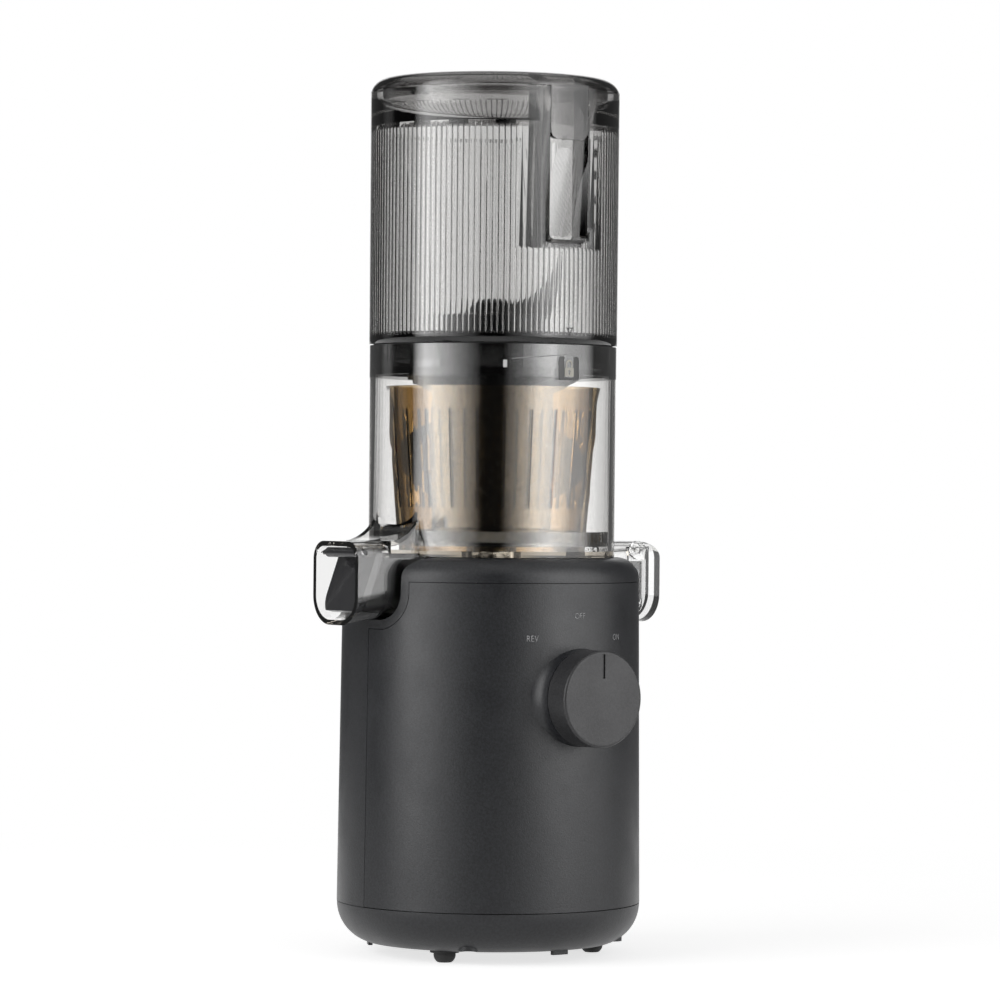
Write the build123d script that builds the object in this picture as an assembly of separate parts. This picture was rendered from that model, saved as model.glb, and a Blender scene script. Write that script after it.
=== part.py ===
from build123d import *
import os
from math import acos, atan2, cos, pi, radians, sin, sqrt, tan

# A cold press juicer: a drum-shaped base with its motor and a two-stage planetary gearbox, a clear
# chamber with two strainers and an auger, and a tall fluted hopper with a hinged lid.
# Frame: +Z up, the origin on the drum axis at the height the feet stand on, the knob towards -Y,
# the juice spout towards -X and the pulp outlet towards +X. Millimetres and degrees throughout.

# ---------------------------------------------------------------- base, outside
base_radius = 77.0          # the drum wall at its upper end
base_draft = 1.7            # how much wider the wall is at its lower end
foot_height = 6.5           # the bottom cover's underside above the floor
cover_height = 20.7
body_height = 166.3         # the drum wall between its two seams
shoulder_radius = 11.4
shoulder_straight = 1.0
shell_wall = 2.6
seam_gap = 0.3
recess_play = 2.9           # each side of a spout in the U-shaped recess that takes it
recess_depth = 32.1
recess_corner = 14.0
recess_flare = 9.0
recess_surround = 4.7
shaft_hole_radius = 13.0

# ---------------------------------------------------------------- fits
running_play = 0.05         # radial, wherever a shaft, pin or gear turns in a bore

# ---------------------------------------------------------------- bottom cover, feet and gland
cover_flat_radius = 64.0
cover_plate_radius = 44.0
cover_plate_drop = 1.8
cover_lip_height = 5.0
cover_screw_circle = 65.0
cover_screw_angles = (-135.0, -45.0, 45.0, 135.0)
vent_slot_width = 3.0
foot_circle = 54.7
foot_radius = 5.5
foot_flange_radius = 7.5
foot_stem_radius = 2.4
sole_radius = 3.6
hook_circle = 61.5
hook_width = 9.4
hook_thickness = 2.2
hook_drop = 2.3
gland_rise = 18.0           # the cord gland above the lower seam
gland_bore = 3.7
gland_radius = 6.0
gland_flange_radius = 8.5

# ---------------------------------------------------------------- knob and switch
knob_drop = 57.9            # the knob axis below the upper seam
knob_radius = 24.5
knob_thickness = 14.2
knob_edge = 1.4
knob_gap = 0.4
knob_skirt_wall = 3.0
boss_reach = 4.6            # the boss face beyond the drum wall
boss_flare = 11.2           # the round that sweeps the boss out into the drum wall
pointer_length = 12.3
pointer_width = 1.7
switch_size = 24.0
switch_depth = 17.0
switch_shaft_radius = 3.0
switch_bushing_radius = 4.5

# ---------------------------------------------------------------- motor
motor_radius = 41.0
motor_height = 69.0
motor_wall = 1.5
motor_shaft_radius = 4.0
pinion_shaft_radius = 3.0
bearing_radius = 11.0
bearing_width = 7.0
stator_height = 35.0
winding_height = 10.0
rotor_radius = 21.0
air_gap = 0.5
fan_radius = 33.0
fan_height = 13.0
fan_blades = 9

# ---------------------------------------------------------------- gearbox
gear_module = 1.0
sun_teeth = 12
planet_teeth = 24
ring_teeth = sun_teeth + 2 * planet_teeth
planet_count = 3
pressure_angle = 20.0
tooth_height_out = 0.8      # tip beyond the pitch circle, in modules
tooth_height_in = 1.05      # root inside the pitch circle, in modules
tooth_play = 0.12           # taken off each tooth's thickness at the pitch circle
gearbox_wall = 7.0
gearbox_top_plate = 5.0
gearbox_lid_plate = 4.0
deck_boss_height = 8.3
first_gear_width = 10.0
second_gear_width = 12.0
first_plate = 3.0
second_plate = 4.0
planet_pin_radius = 2.5
gear_end_gap = 0.6
long_screw_radius = 1.5

# ---------------------------------------------------------------- drive shaft and auger
drive_radius = 7.0
drive_flats = 12.0          # across the flats of the hexagon
drive_reach = 26.0          # the hexagon's end above the deck
bushing_radius = 10.0
sleeve_radius = 9.5
socket_play = 0.15          # each flat of the socket from the shaft
auger_gap = 0.8             # auger tip to inner strainer
auger_core_low = 31.0
auger_core_high = 26.0
dome_rise = 21.2            # the auger's top above the chamber's wall
flight_rise = 5.2           # and the upper end of its flights
flight_angle = 26.0
flight_turn = 300.0
dome_radius = 12.0
wing_thickness = 5.0
wing_reach = 35.6
wing_height = 48.0
wing_azimuth = -36.5

# ---------------------------------------------------------------- chamber and strainers
seat_gap = 0.3
chamber_radius = 64.0
chamber_wall = 3.0
chamber_floor = 3.0
chamber_height = 91.8       # from the chamber's underside to the collar
collar_radius = 64.3
collar_height = 16.7
tower_radius = 13.0
tower_height = 13.0
seal_height = 3.0
strainer_low_radius = 48.6
strainer_high_radius = 55.1
strainer_headroom = 4.3     # from the strainers' top to the top of the chamber's wall
strainer_wall = 1.7
strainer_gap = 1.2
strainer_slots = 24
slot_width = 1.2
strainer_ring_height = 7.5

# ---------------------------------------------------------------- spout and pulp outlet
duct_half_width = 20.0
duct_wall = 2.6
duct_clearance = 1.2        # where the droop starts, outside the drum's upper end
duct_drop = 31.8            # the ducts' underside below the chamber's underside
duct_rise = 7.6             # their top above it
duct_droop = 3.2            # how much lower their underside is at the outer end
duct_top_corner = 9.0
duct_bottom_corner = 15.0
spout_reach = 98.0
spout_blend = 15.0
outlet_reach = 96.2
outlet_pivot = 81.6
outlet_lug = 4.8
outlet_pin = 2.0
cap_wall = 2.6
cap_corner = 8.0            # the round of its outer upper edge
cap_play = 0.3
plug_play = 0.8
spout_pin = 1.4

# ---------------------------------------------------------------- hopper
hopper_gap = 0.7
hopper_radius = 64.5
hopper_draft = 0.2          # how much wider the hopper is at its top
hopper_height = 130.2
hopper_wall = 3.8
rim_wall = 3.0
skirt_drop = 16.0
skirt_gap = 0.4
skirt_wall = 3.0
throat_radius = 53.0
lug_reach = 1.7
lug_height = 3.0
lug_angle = 15.0
groove_play = 0.3
twist_angle = 34.0
channel_half_width = 12.1
channel_depth = 14.0
channel_wall = 2.5
channel_floor_wall = 2.7
channel_bottom = 52.6       # the finger channel's lower end above the hopper's underside

# ---------------------------------------------------------------- lid
lid_gap = 0.4
lid_height = 6.9
lid_edge_width = 10.0
lid_plate = 3.0
lid_skirt_inset = 3.2
lid_skirt_wall = 2.0
lid_skirt_front = 21.0      # how far the skirt hangs below the hopper's rim, at the front
lid_skirt_back = 5.6        # and at the back
tongue_drop = 26.6
tongue_thickness = 3.0
tongue_corner = 4.5
tongue_play = 0.3
hinge_pin_radius = 1.5
hinge_knuckle = 3.4
hinge_half_width = 10.0
knuckle_half_width = 5.3

# ---------------------------------------------------------------- screws and board
screw_play = 0.05
screw_radius = 2.0
screw_head_radius = 3.8
screw_head = 2.6
board_width = 48.0
board_height = 66.0
board_thickness = 1.6
board_distance = 52.0

# ---------------------------------------------------------------- heights that follow
seam_low = foot_height + cover_height
seam_high = seam_low + body_height
shoulder_start = seam_high + shoulder_straight
deck_top = shoulder_start + shoulder_radius
deck_bottom = deck_top - shell_wall
knob_height = seam_high - knob_drop
boss_face = base_radius + boss_reach
board_middle = seam_low + 0.41 * body_height

gear_top = deck_bottom - deck_boss_height
sun_pitch = gear_module * sun_teeth / 2
planet_pitch = gear_module * planet_teeth / 2
ring_pitch = gear_module * ring_teeth / 2
planet_circle = sun_pitch + planet_pitch
ring_root = ring_pitch + tooth_height_in * gear_module
gearbox_radius = ring_root + gearbox_wall
gearbox_screw_circle = ring_root + gearbox_wall / 2
carrier_radius = ring_pitch - 2.5 * gear_module
gear_ceiling = gear_top - gearbox_top_plate
second_carrier_top = gear_ceiling - 4.0
second_carrier_low = second_carrier_top - second_plate
second_gear_high = second_carrier_low - gear_end_gap
second_gear_low = second_gear_high - second_gear_width
first_carrier_top = second_gear_low - gear_end_gap
first_carrier_low = first_carrier_top - first_plate
first_gear_high = first_carrier_low - gear_end_gap
first_gear_low = first_gear_high - first_gear_width
lid_plate_top = first_gear_low - 2.0
lid_plate_low = lid_plate_top - gearbox_lid_plate
motor_top = lid_plate_low
motor_low = motor_top - motor_height
stator_middle = (motor_top + motor_low) / 2 - 1.0
stator_low = stator_middle - stator_height / 2
stator_high = stator_middle + stator_height / 2
fan_top = motor_low - 12.0

chamber_bottom = deck_top + seat_gap
floor_top = chamber_bottom + chamber_floor
chamber_bore = chamber_radius - chamber_wall
collar_bottom = chamber_bottom + chamber_height
collar_top = collar_bottom + collar_height
tower_top = floor_top + tower_height
seal_top = tower_top + seal_height
strainer_top = collar_bottom - strainer_headroom
strainer_height = strainer_top - floor_top
duct_bottom = chamber_bottom - duct_drop
duct_top = chamber_bottom + duct_rise
recess_bottom = deck_top - recess_depth
recess_half_width = duct_half_width + recess_play
spout_inner = chamber_bore - 5.0
outlet_inner = chamber_bore - 3.0
chute_inner = 31.0
chute_half_width = 10.0
chute_drop = 5.0

drive_top = deck_top + drive_reach
sleeve_low = chamber_bottom + 2.0
sleeve_high = drive_top + 5.0
auger_low = floor_top + 2.0
auger_top = collar_bottom + dome_rise
flight_top = collar_bottom + flight_rise
flight_height = flight_top - auger_low

hopper_bottom = collar_top + hopper_gap
hopper_top = hopper_bottom + hopper_height
hopper_bore = hopper_radius - hopper_wall
skirt_radius = chamber_bore - skirt_gap
skirt_bottom = hopper_bottom - skirt_drop
rim_bottom = hopper_top - 17.6
channel_floor = hopper_radius - channel_depth
channel_low = hopper_bottom + channel_bottom
lid_bottom = hopper_top + lid_gap
lid_top = lid_bottom + lid_height
lid_radius = hopper_radius + hopper_draft
hinge_y = lid_radius + 1.3
hinge_z = lid_bottom

far = 600.0                 # longer than anything that is cut
past = 1.0                  # how far a cutting shape runs past what it cuts


# ---------------------------------------------------------------- shapes used more than once
def disc(radius, low, high):
    """A solid cylinder on the vertical axis between two heights."""
    return Pos(0, 0, (low + high) / 2) * Cylinder(radius, high - low)


def tube(outer, inner, low, high):
    """A hollow cylinder on the vertical axis between two heights."""
    return disc(outer, low, high) - disc(inner, low - past, high + past)


def cone(low_radius, high_radius, low, high):
    """A solid cone frustum on the vertical axis between two heights."""
    return Pos(0, 0, (low + high) / 2) * Cone(low_radius, high_radius, high - low)


def block(x, y, z):
    """A box between a pair of limits on each axis."""
    sizes = [high - low for low, high in (x, y, z)]
    middles = [(low + high) / 2 for low, high in (x, y, z)]
    return Pos(*middles) * Box(*sizes)


def turned(*lines):
    """The solid that a closed outline of (radius, height) lines sweeps around the vertical axis."""
    return revolve(Plane.XZ * make_face(Curve() + list(lines)), Axis.Z)


def bar_along_y(radius, x, z, low, high):
    """A round bar along the Y axis direction."""
    return Pos(x, (low + high) / 2, z) * Rot(90, 0, 0) * Cylinder(radius, high - low)


def bar_along_x(radius, y, z, low, high):
    """A round bar along the X axis direction."""
    return Pos((low + high) / 2, y, z) * Rot(0, 90, 0) * Cylinder(radius, high - low)


def side_profile(points, half_width):
    """A polygon of (x, z) points, extruded to both sides along Y."""
    return extrude(Plane.XZ * make_face(Polyline(*points, close=True)), amount=half_width, both=True)


def along_x(section, low, high):
    """A (y, z) section extruded along X between two limits."""
    return Pos(low, 0, 0) * extrude(Plane.YZ * section, amount=high - low)


def around(shape, count, first=0.0):
    """Equally spaced copies of a shape around the vertical axis."""
    return [Rot(0, 0, first + 360 * n / count) * shape for n in range(count)]


def turned_by(shape, angles):
    """Copies of a shape turned about the vertical axis by each angle."""
    return [Rot(0, 0, angle) * shape for angle in angles]


def wedge(middle, half_angle, low, high):
    """The pie slice within half_angle of the middle direction."""
    rim = [(far * cos(radians(middle + a)), far * sin(radians(middle + a)))
           for a in (-half_angle, 0, half_angle)]
    return Pos(0, 0, low) * extrude(make_face(Polyline((0, 0), *rim, close=True)), amount=high - low)


def hexagon(across_flats, low, high):
    """A hexagonal bar on the vertical axis."""
    flat = RegularPolygon(across_flats / 2, 6, major_radius=False)
    return Pos(0, 0, low) * extrude(flat, amount=high - low)


def screw(shank_low, shank_high, radius=screw_radius, head_radius=screw_head_radius, head=screw_head):
    """A screw that points up, with its head's top face at shank_low."""
    return disc(radius, shank_low, shank_high) + disc(head_radius, shank_low - head, shank_low)


def duct_section(inset, low, high):
    """The rounded outline of a duct in the (y, z) plane."""
    outline = Pos(0, (low + high) / 2) * Rectangle(2 * (duct_half_width - inset), high - low)
    outline = fillet(outline.vertices().group_by(Axis.Y)[-1], duct_top_corner - inset)
    return fillet(outline.vertices().group_by(Axis.Y)[0], duct_bottom_corner - inset)


def duct_floor_at(x, reach):
    """The underside of a duct that ends at reach: level in the base, drooping outside it."""
    level_end = base_radius + duct_clearance
    share = max(0.0, abs(x) - level_end) / (reach - level_end)
    return duct_bottom - duct_droop * share


def duct_run(inset, ends, reach, high):
    """A straight run of duct, or its hollow, between two places along X."""
    sections = [
        Pos(x, 0, 0) * (Plane.YZ * duct_section(inset, duct_floor_at(x, reach) + inset, high))
        for x in ends
    ]
    return loft(sections, ruled=True)


def duct(inset, inner, outer, reach):
    """A whole duct from its inner end to its outer one: a level run and a drooping one."""
    side = -1 if inner < 0 else 1
    bend = side * (base_radius + duct_clearance)
    high = duct_top - inset
    return duct_run(inset, (inner, bend), reach, high) + duct_run(inset, (bend, outer), reach, high)


# ---------------------------------------------------------------- gear teeth
def involute(angle):
    """The involute function of a pressure angle in radians."""
    return tan(angle) - angle


def gear_face(teeth, tip, root, thickness):
    """A gear's outline with straight steps along each involute flank and a tooth on the +X side."""
    pitch_radius = gear_module * teeth / 2
    base = pitch_radius * cos(radians(pressure_angle))
    tip_radius = pitch_radius + tip
    root_radius = pitch_radius - root
    start = max(base, root_radius)
    radii = [root_radius] + [start + (tip_radius - start) * step / 3 for step in range(4)]
    if start - root_radius < 0.01:
        radii = radii[1:]

    def half_angle(radius):
        flank = involute(acos(min(1.0, base / max(radius, base))))
        return thickness / (2 * pitch_radius) + involute(radians(pressure_angle)) - flank

    points = []
    for tooth in range(teeth):
        middle = 2 * pi * tooth / teeth
        rising = [(radius, middle - half_angle(radius)) for radius in radii]
        falling = [(radius, middle + half_angle(radius)) for radius in reversed(radii)]
        points += [(r * cos(a), r * sin(a)) for r, a in rising + falling]
    return make_face(Polyline(*points, close=True))


def outer_gear(teeth, low, high):
    """A spur gear with outward teeth."""
    thickness = pi * gear_module / 2 - tooth_play
    face = gear_face(teeth, tooth_height_out * gear_module, tooth_height_in * gear_module, thickness)
    return Pos(0, 0, low) * extrude(face, amount=high - low)


def ring_cutter(low, high):
    """The space inside the ring gear, with one of the ring's own teeth on the +X side."""
    thickness = pi * gear_module / 2 + tooth_play
    face = gear_face(ring_teeth, tooth_height_in * gear_module, tooth_height_out * gear_module, thickness)
    return Pos(0, 0, low) * Rot(0, 0, 180 / ring_teeth) * extrude(face, amount=high - low)


def planet_gear(number, low, high):
    """One planet in mesh with a sun that has a tooth on the +X side."""
    gear = Rot(0, 0, 180 / planet_teeth) * outer_gear(planet_teeth, low, high)
    gear -= disc(planet_pin_radius + running_play, low - past, high + past)
    return Rot(0, 0, 360 * number / planet_count) * Pos(planet_circle, 0, 0) * gear


def carrier(plate_low, plate_high, pin_low):
    """A planet carrier: a round plate with one pin down through each planet."""
    body = disc(carrier_radius, plate_low, plate_high)
    pin = Pos(planet_circle, 0, 0) * disc(planet_pin_radius, pin_low, plate_low + past)
    for placed in around(pin, planet_count):
        body += placed
    return body


# ---------------------------------------------------------------- base shells
def wall_radius(height):
    """The drum's outer radius at a height."""
    return base_radius + base_draft * (seam_high - height) / body_height


def drum(inset, low):
    """The base's outer form, or its hollow when inset by the wall."""
    side = base_radius - inset
    arc_radius = shoulder_radius - inset
    centre = base_radius - shoulder_radius
    top = shoulder_start + arc_radius
    bend = (centre + arc_radius * cos(pi / 4), shoulder_start + arc_radius * sin(pi / 4))
    return turned(
        Polyline((centre, top), (0, top), (0, low), (wall_radius(low) - inset, low), (side, seam_high),
                 (side, shoulder_start)),
        ThreePointArc((side, shoulder_start), bend, (centre, top)),
    )


def recess_section():
    """The U-shaped recess in the (y, z) plane, flared where it meets the deck."""
    half = recess_half_width
    low = recess_bottom
    corner = recess_corner
    flare = recess_flare
    open_top = deck_top + 2 * shoulder_radius
    reach = corner * cos(pi / 4)
    turn = flare * cos(pi / 4)
    lines = []
    for side in (-1, 1):
        lines += [
            Line((side * (half + flare), open_top), (side * (half + flare), deck_top)),
            ThreePointArc(
                (side * (half + flare), deck_top),
                (side * (half + flare - turn), deck_top - flare + turn),
                (side * half, deck_top - flare)),
            Line((side * half, deck_top - flare), (side * half, low + corner)),
            ThreePointArc(
                (side * half, low + corner),
                (side * (half - corner + reach), low + corner - reach),
                (side * (half - corner), low)),
        ]
    lines += [
        Line((-half - flare, open_top), (half + flare, open_top)),
        Line((corner - half, low), (half - corner, low)),
    ]
    return make_face(Curve() + lines)


def recesses(grow):
    """Both spout recesses and the pulp chute's channel, as solids, grown by a wall."""
    section = offset(recess_section(), amount=grow) if grow else recess_section()
    chute_low = chamber_bottom - chute_drop - 0.4 - grow
    chute_side = chute_half_width + 0.6 + grow
    return [
        along_x(section, -far, -(spout_inner - 3.5 - grow)),
        along_x(section, outlet_inner - 3.5 - grow, far),
        block((chute_inner - 3.0 - grow, outlet_inner), (-chute_side, chute_side), (chute_low, far)),
    ]


def front_region(gap):
    """All that belongs to the front panel, drawn back from its seams by a gap."""
    reach = 2 * base_radius
    area = Pos(-gap - reach / 2, (seam_low + seam_high) / 2) * Rectangle(reach, body_height - 2 * gap)
    area -= offset(recess_section(), amount=recess_surround + gap)
    return along_x(area, -far, far)


def knob_frame():
    """The plane of the knob axis: its Z runs out of the front of the drum."""
    return Plane(origin=(0, 0, knob_height), x_dir=(1, 0, 0), z_dir=(0, -1, 0))


def knob_boss(inset):
    """The flared boss that carries the knob, along the knob axis, or its hollow."""
    radius = knob_radius - inset
    face = boss_face - inset
    sweep = boss_flare + inset
    turn = 0.35 * pi
    start = (radius, face - 1.0)
    bend = (radius + sweep * (1 - cos(turn / 2)), face - 1.0 - sweep * sin(turn / 2))
    end = (radius + sweep * (1 - cos(turn)), face - 1.0 - sweep * sin(turn))
    skirt = (end[0] + 5.0, end[1] - 2.5)
    return knob_frame() * turned(
        Polyline(start, (radius, face), (0, face), (0, face - 30.0), (skirt[0], face - 30.0), skirt, end),
        ThreePointArc(end, bend, start),
    )


def base_shell():
    """The whole drum wall with its deck, recesses and knob boss, before it is parted."""
    outer = drum(0, seam_low)
    shell = outer - drum(shell_wall, seam_low - past)
    boss = knob_boss(0) & block((-far, far), (-far, -0.5 * base_radius), (0, far))
    shell += boss - drum(shell_wall, seam_low - past)
    shell -= knob_boss(shell_wall) & block((-far, far), (-far, -0.5 * base_radius), (0, far))
    for liner in recesses(shell_wall):
        shell += liner & drum(0.01, seam_low)
    for hollow in recesses(0):
        shell -= hollow
    return shell


def cover_post_top():
    return seam_low + cover_lip_height


def screw_column(angle, low, high):
    """A hollow screw column and the rib that ties it to the wall."""
    centre = cover_screw_circle
    column = Pos(centre, 0, 0) * disc(4.6, low, high)
    rib = block((centre, wall_radius(high) - shell_wall / 2), (-1.2, 1.2), (low, high))
    pilot = Pos(centre, 0, 0) * disc(screw_radius + screw_play, low - past, high - 4.0)
    return Rot(0, 0, angle) * (column + rib - pilot)


def front_panel(shell):
    """The front half of the drum wall with the knob boss."""
    panel = shell & front_region(seam_gap / 2)
    panel -= knob_frame() * disc(switch_bushing_radius + screw_play, boss_face - 10, boss_face + past)
    for angle in cover_screw_angles[:2]:
        panel += screw_column(angle, cover_post_top() + 0.2, seam_low + 34.0)
    tab_outer = base_radius - shell_wall - 0.9
    for angle in (-125.0, -55.0):
        slice_ = wedge(angle, 7.0, seam_high - 14.0, seam_high + 3.0)
        root = tube(base_radius - shell_wall / 2, tab_outer - 2.2, seam_high - 14.0, seam_high - 3.0)
        tab = tube(tab_outer, tab_outer - 2.2, seam_high - 14.0, seam_high + 3.0)
        panel += (root + tab) & slice_
    return panel


def rear_housing(shell):
    """The shoulder ring, deck, recess linings and the rear half of the drum wall."""
    housing = shell - front_region(-seam_gap / 2)
    housing -= disc(shaft_hole_radius, deck_bottom - past, deck_top + past)
    for angle in cover_screw_angles[2:]:
        housing += screw_column(angle, cover_post_top() + 0.2, seam_low + 34.0)
    boss = Pos(gearbox_screw_circle, 0, 0) * disc(4.2, gear_top, deck_bottom + shell_wall / 2)
    pilot = Pos(gearbox_screw_circle, 0, 0) * disc(
        long_screw_radius + screw_play, gear_top - past, deck_bottom - 1.5)
    for placed, hole in zip(around(boss, 4, 45), around(pilot, 4, 45)):
        housing += placed
        housing -= hole
    pad_end = wall_radius(gland_height()) + 0.6
    pad = bar_along_y(gland_flange_radius + 2.5, 0, gland_height(), base_radius - 6, pad_end)
    housing += pad - drum(shell_wall, 0)
    housing -= bar_along_y(gland_radius + screw_play, 0, gland_height(), base_radius - 10, far)
    for x, z in board_corners():
        post = bar_along_y(3.4, x, z, board_distance + board_thickness, base_radius)
        housing += post & drum(shell_wall / 2, seam_low)
        housing -= bar_along_y(1.3, x, z, board_distance - past, board_distance + 14.0)
    return housing


def gland_height():
    return seam_low + gland_rise


def board_corners():
    half_x = board_width / 2 - 4.0
    half_z = board_height / 2 - 4.0
    return [(x, board_middle + z) for x in (-half_x, half_x) for z in (-half_z, half_z)]


def cover_form(inset, top):
    """The bottom cover's bowl, or its hollow."""
    rim = wall_radius(seam_low) - 0.1 - inset
    low = foot_height + inset
    flat = cover_flat_radius
    bend = (flat + 0.80 * (rim - flat), low + 0.46 * (seam_low - low))
    return turned(
        Polyline((rim, seam_low), (rim, top), (0, top), (0, low), (flat, low)),
        ThreePointArc((flat, low), bend, (rim, seam_low)),
    )


def bottom_cover():
    """The dished cover with its raised plate, cord hooks, screw posts and air slots."""
    cover = cover_form(0, seam_low + past) & disc(far, 0, seam_low - seam_gap)
    lip_radius = wall_radius(seam_low) - shell_wall - 0.3
    cover -= cover_form(shell_wall, seam_low + 2)
    lip = tube(lip_radius, lip_radius - 2.0, seam_low - 7.0, seam_low + cover_lip_height)
    shelf = tube(wall_radius(seam_low) - 1.2, lip_radius - 2.0, seam_low - 7.0, seam_low - seam_gap)
    cover += lip + shelf
    cover += disc(cover_plate_radius, foot_height - cover_plate_drop, foot_height + past)
    hook = block(
        (hook_circle - hook_thickness / 2, hook_circle + hook_thickness / 2),
        (-hook_width / 2, hook_width / 2),
        (foot_height - hook_drop, foot_height + shell_wall / 2))
    for placed in around(hook, 3, -90):
        cover += placed
    for angle in cover_screw_angles:
        post = Pos(cover_screw_circle, 0, 0) * disc(5.2, foot_height + past, cover_post_top())
        hole = Pos(cover_screw_circle, 0, 0) * (
            disc(screw_radius + 0.3, 0, cover_post_top() + past)
            + disc(screw_head_radius + 0.3, 0, foot_height + 6.0))
        cover += Rot(0, 0, angle) * post
        cover -= Rot(0, 0, angle) * hole
    slot = block((20.0, 38.0), (-vent_slot_width / 2, vent_slot_width / 2), (0, foot_height + 8.0))
    for placed in around(slot, 10, 18):
        cover -= placed
    stem_hole = Pos(foot_circle, 0, 0) * disc(foot_stem_radius + screw_play, 0, foot_height + 8.0)
    for placed in around(stem_hole, 3, 90):
        cover -= placed
    return cover


def rubber_feet():
    """Three domed feet, each with a stem up through the bottom cover."""
    mid = (foot_radius - 0.4, 1.6)
    dome = turned(
        Polyline((foot_radius, foot_height - 1.5), (foot_flange_radius, foot_height - 1.5),
                 (foot_flange_radius, foot_height), (foot_stem_radius, foot_height),
                 (foot_stem_radius, foot_height + 6.5), (0, foot_height + 6.5), (0, 0), (sole_radius, 0)),
        ThreePointArc((sole_radius, 0), mid, (foot_radius, foot_height - 1.5)),
    )
    return around(Pos(foot_circle, 0, 0) * dome, 3, 90)


def cover_screws():
    """Four screws up through the bottom cover into the shells' columns."""
    one = Pos(cover_screw_circle, 0, 0) * screw(foot_height + 6.0, seam_low + 22.0)
    return turned_by(one, cover_screw_angles)


def cord_gland():
    """The grommet that lines the cord's hole in the back of the base."""
    wall_out = wall_radius(gland_height()) + 0.6
    wall_in = base_radius - shell_wall - 4.0
    z = gland_height()
    gland = bar_along_y(gland_flange_radius, 0, z, wall_out, wall_out + 2.2)
    gland += bar_along_y(gland_radius, 0, z, wall_in - 3.0, wall_out + past)
    gland += bar_along_y(gland_radius + 1.2, 0, z, wall_in - 3.0, wall_in - 1.0)
    return gland - bar_along_y(gland_bore, 0, z, 0, far)


# ---------------------------------------------------------------- knob and switch
def control_knob():
    """The round knob with a pointer groove, a skirt and a hub that grips the switch shaft."""
    low = boss_face + knob_gap
    high = low + knob_thickness
    knob = turned(
        Polyline((knob_radius - knob_edge, high), (0, high), (0, low), (knob_radius, low),
                 (knob_radius, high - knob_edge)),
        ThreePointArc(
            (knob_radius, high - knob_edge),
            (knob_radius - knob_edge * (1 - cos(pi / 4)), high - knob_edge * (1 - sin(pi / 4))),
            (knob_radius - knob_edge, high)),
    )
    knob -= disc(knob_radius - knob_skirt_wall, low - past, high - 3.6)
    knob += disc(7.0, low + 3.4, high - 3.0)
    knob -= disc(switch_shaft_radius, low - past, high - 4.2)
    groove_top = knob_radius - 1.7
    knob -= block(
        (-pointer_width / 2, pointer_width / 2),
        (groove_top - pointer_length, groove_top),
        (high - 0.8, high + past))
    return knob_frame() * knob


def switch_shaft():
    low = boss_face + knob_gap
    shaft = disc(switch_shaft_radius, boss_face - 14.0, low + knob_thickness - 4.2)
    return knob_frame() * shaft


def rotary_switch():
    """The switch body behind the boss, with the threaded bushing through the panel."""
    back = boss_face - shell_wall
    half = switch_size / 2
    body = block((-half, half), (-half, half), (back - switch_depth, back))
    body += disc(switch_bushing_radius, back - past, boss_face + 3.3)
    body -= disc(switch_shaft_radius + running_play, boss_face - 14.0, far)
    for side in (-1, 1):
        for row in (-6.0, 6.0):
            pin = block((side * 6 - 0.4, side * 6 + 0.4), (row - 2.2, row + 2.2),
                        (back - switch_depth - 6.0, back - switch_depth + past))
            body += pin
    return knob_frame() * body


def switch_nut():
    nut = hexagon(13.0, boss_face, boss_face + 2.6)
    return knob_frame() * (nut - disc(switch_bushing_radius, 0, far))


# ---------------------------------------------------------------- motor
def motor_can():
    """The drawn steel can, open below, with a hole for the gearbox lid's bearing boss."""
    can = disc(motor_radius, motor_low, motor_top)
    can -= disc(motor_radius - motor_wall, motor_low - past, motor_top - 2 * motor_wall)
    can -= disc(bearing_radius + 3.2, motor_low, motor_top + past)
    for hole in around(Pos(20.0, 0, 0) * disc(long_screw_radius, motor_low, far), 4):
        can -= hole
    return can


def motor_end_plate():
    """The lower end plate with its bearing cup and air openings."""
    plate = disc(motor_radius, motor_low - 4.0, motor_low)
    plate += disc(bearing_radius + 3.0, motor_low - 4.0 - bearing_width / 2, motor_low + 4.0)
    plate -= disc(bearing_radius, motor_low - bearing_width + 3.5, far)
    plate -= disc(motor_shaft_radius + 2.0, 0, far)
    window = wedge(0, 14.0, motor_low - 6.0, motor_low + 1.0)
    window &= tube(35.0, 19.0, motor_low - 6.0, motor_low + 1.0)
    for placed in around(window, 8):
        plate -= placed
    return plate


def stator_core():
    """The lamination stack."""
    bore = rotor_radius + air_gap
    stack = tube(motor_radius - motor_wall, bore, stator_low, stator_high)
    notch = block((bore - past, bore + 3.0), (-1.2, 1.2), (stator_low - past, stator_high + past))
    for placed in around(notch, 12):
        stack -= placed
    return stack


def stator_windings():
    """The two rounded end turns of the coils."""
    turns = []
    for low in (stator_low - winding_height, stator_high):
        ring = tube(motor_radius - motor_wall - 2.5, rotor_radius + 4.0, low, low + winding_height)
        far_end = ring.edges().group_by(Axis.Z)[0 if low < stator_low else -1]
        turns.append(fillet(far_end, 3.0))
    return turns


def bearing(low):
    """A sealed ball bearing, as one ring with a shallow groove in each side face."""
    ring = tube(bearing_radius, motor_shaft_radius + running_play, low, low + bearing_width)
    for side in (low - past, low + bearing_width - 0.4):
        ring -= tube(bearing_radius - 1.8, motor_shaft_radius + 1.8, side + 0.4, side + past)
    return ring


def motor_bearings():
    return [bearing(lid_plate_low - bearing_width), bearing(motor_low - bearing_width + 3.5)]


def motor_shaft():
    shaft = disc(motor_shaft_radius, fan_top - fan_height - 3.0, lid_plate_low)
    return shaft + disc(pinion_shaft_radius, lid_plate_low - past, first_gear_high)


def rotor_core():
    return tube(rotor_radius, motor_shaft_radius, stator_low - 1.0, stator_high + 1.0)


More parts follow.
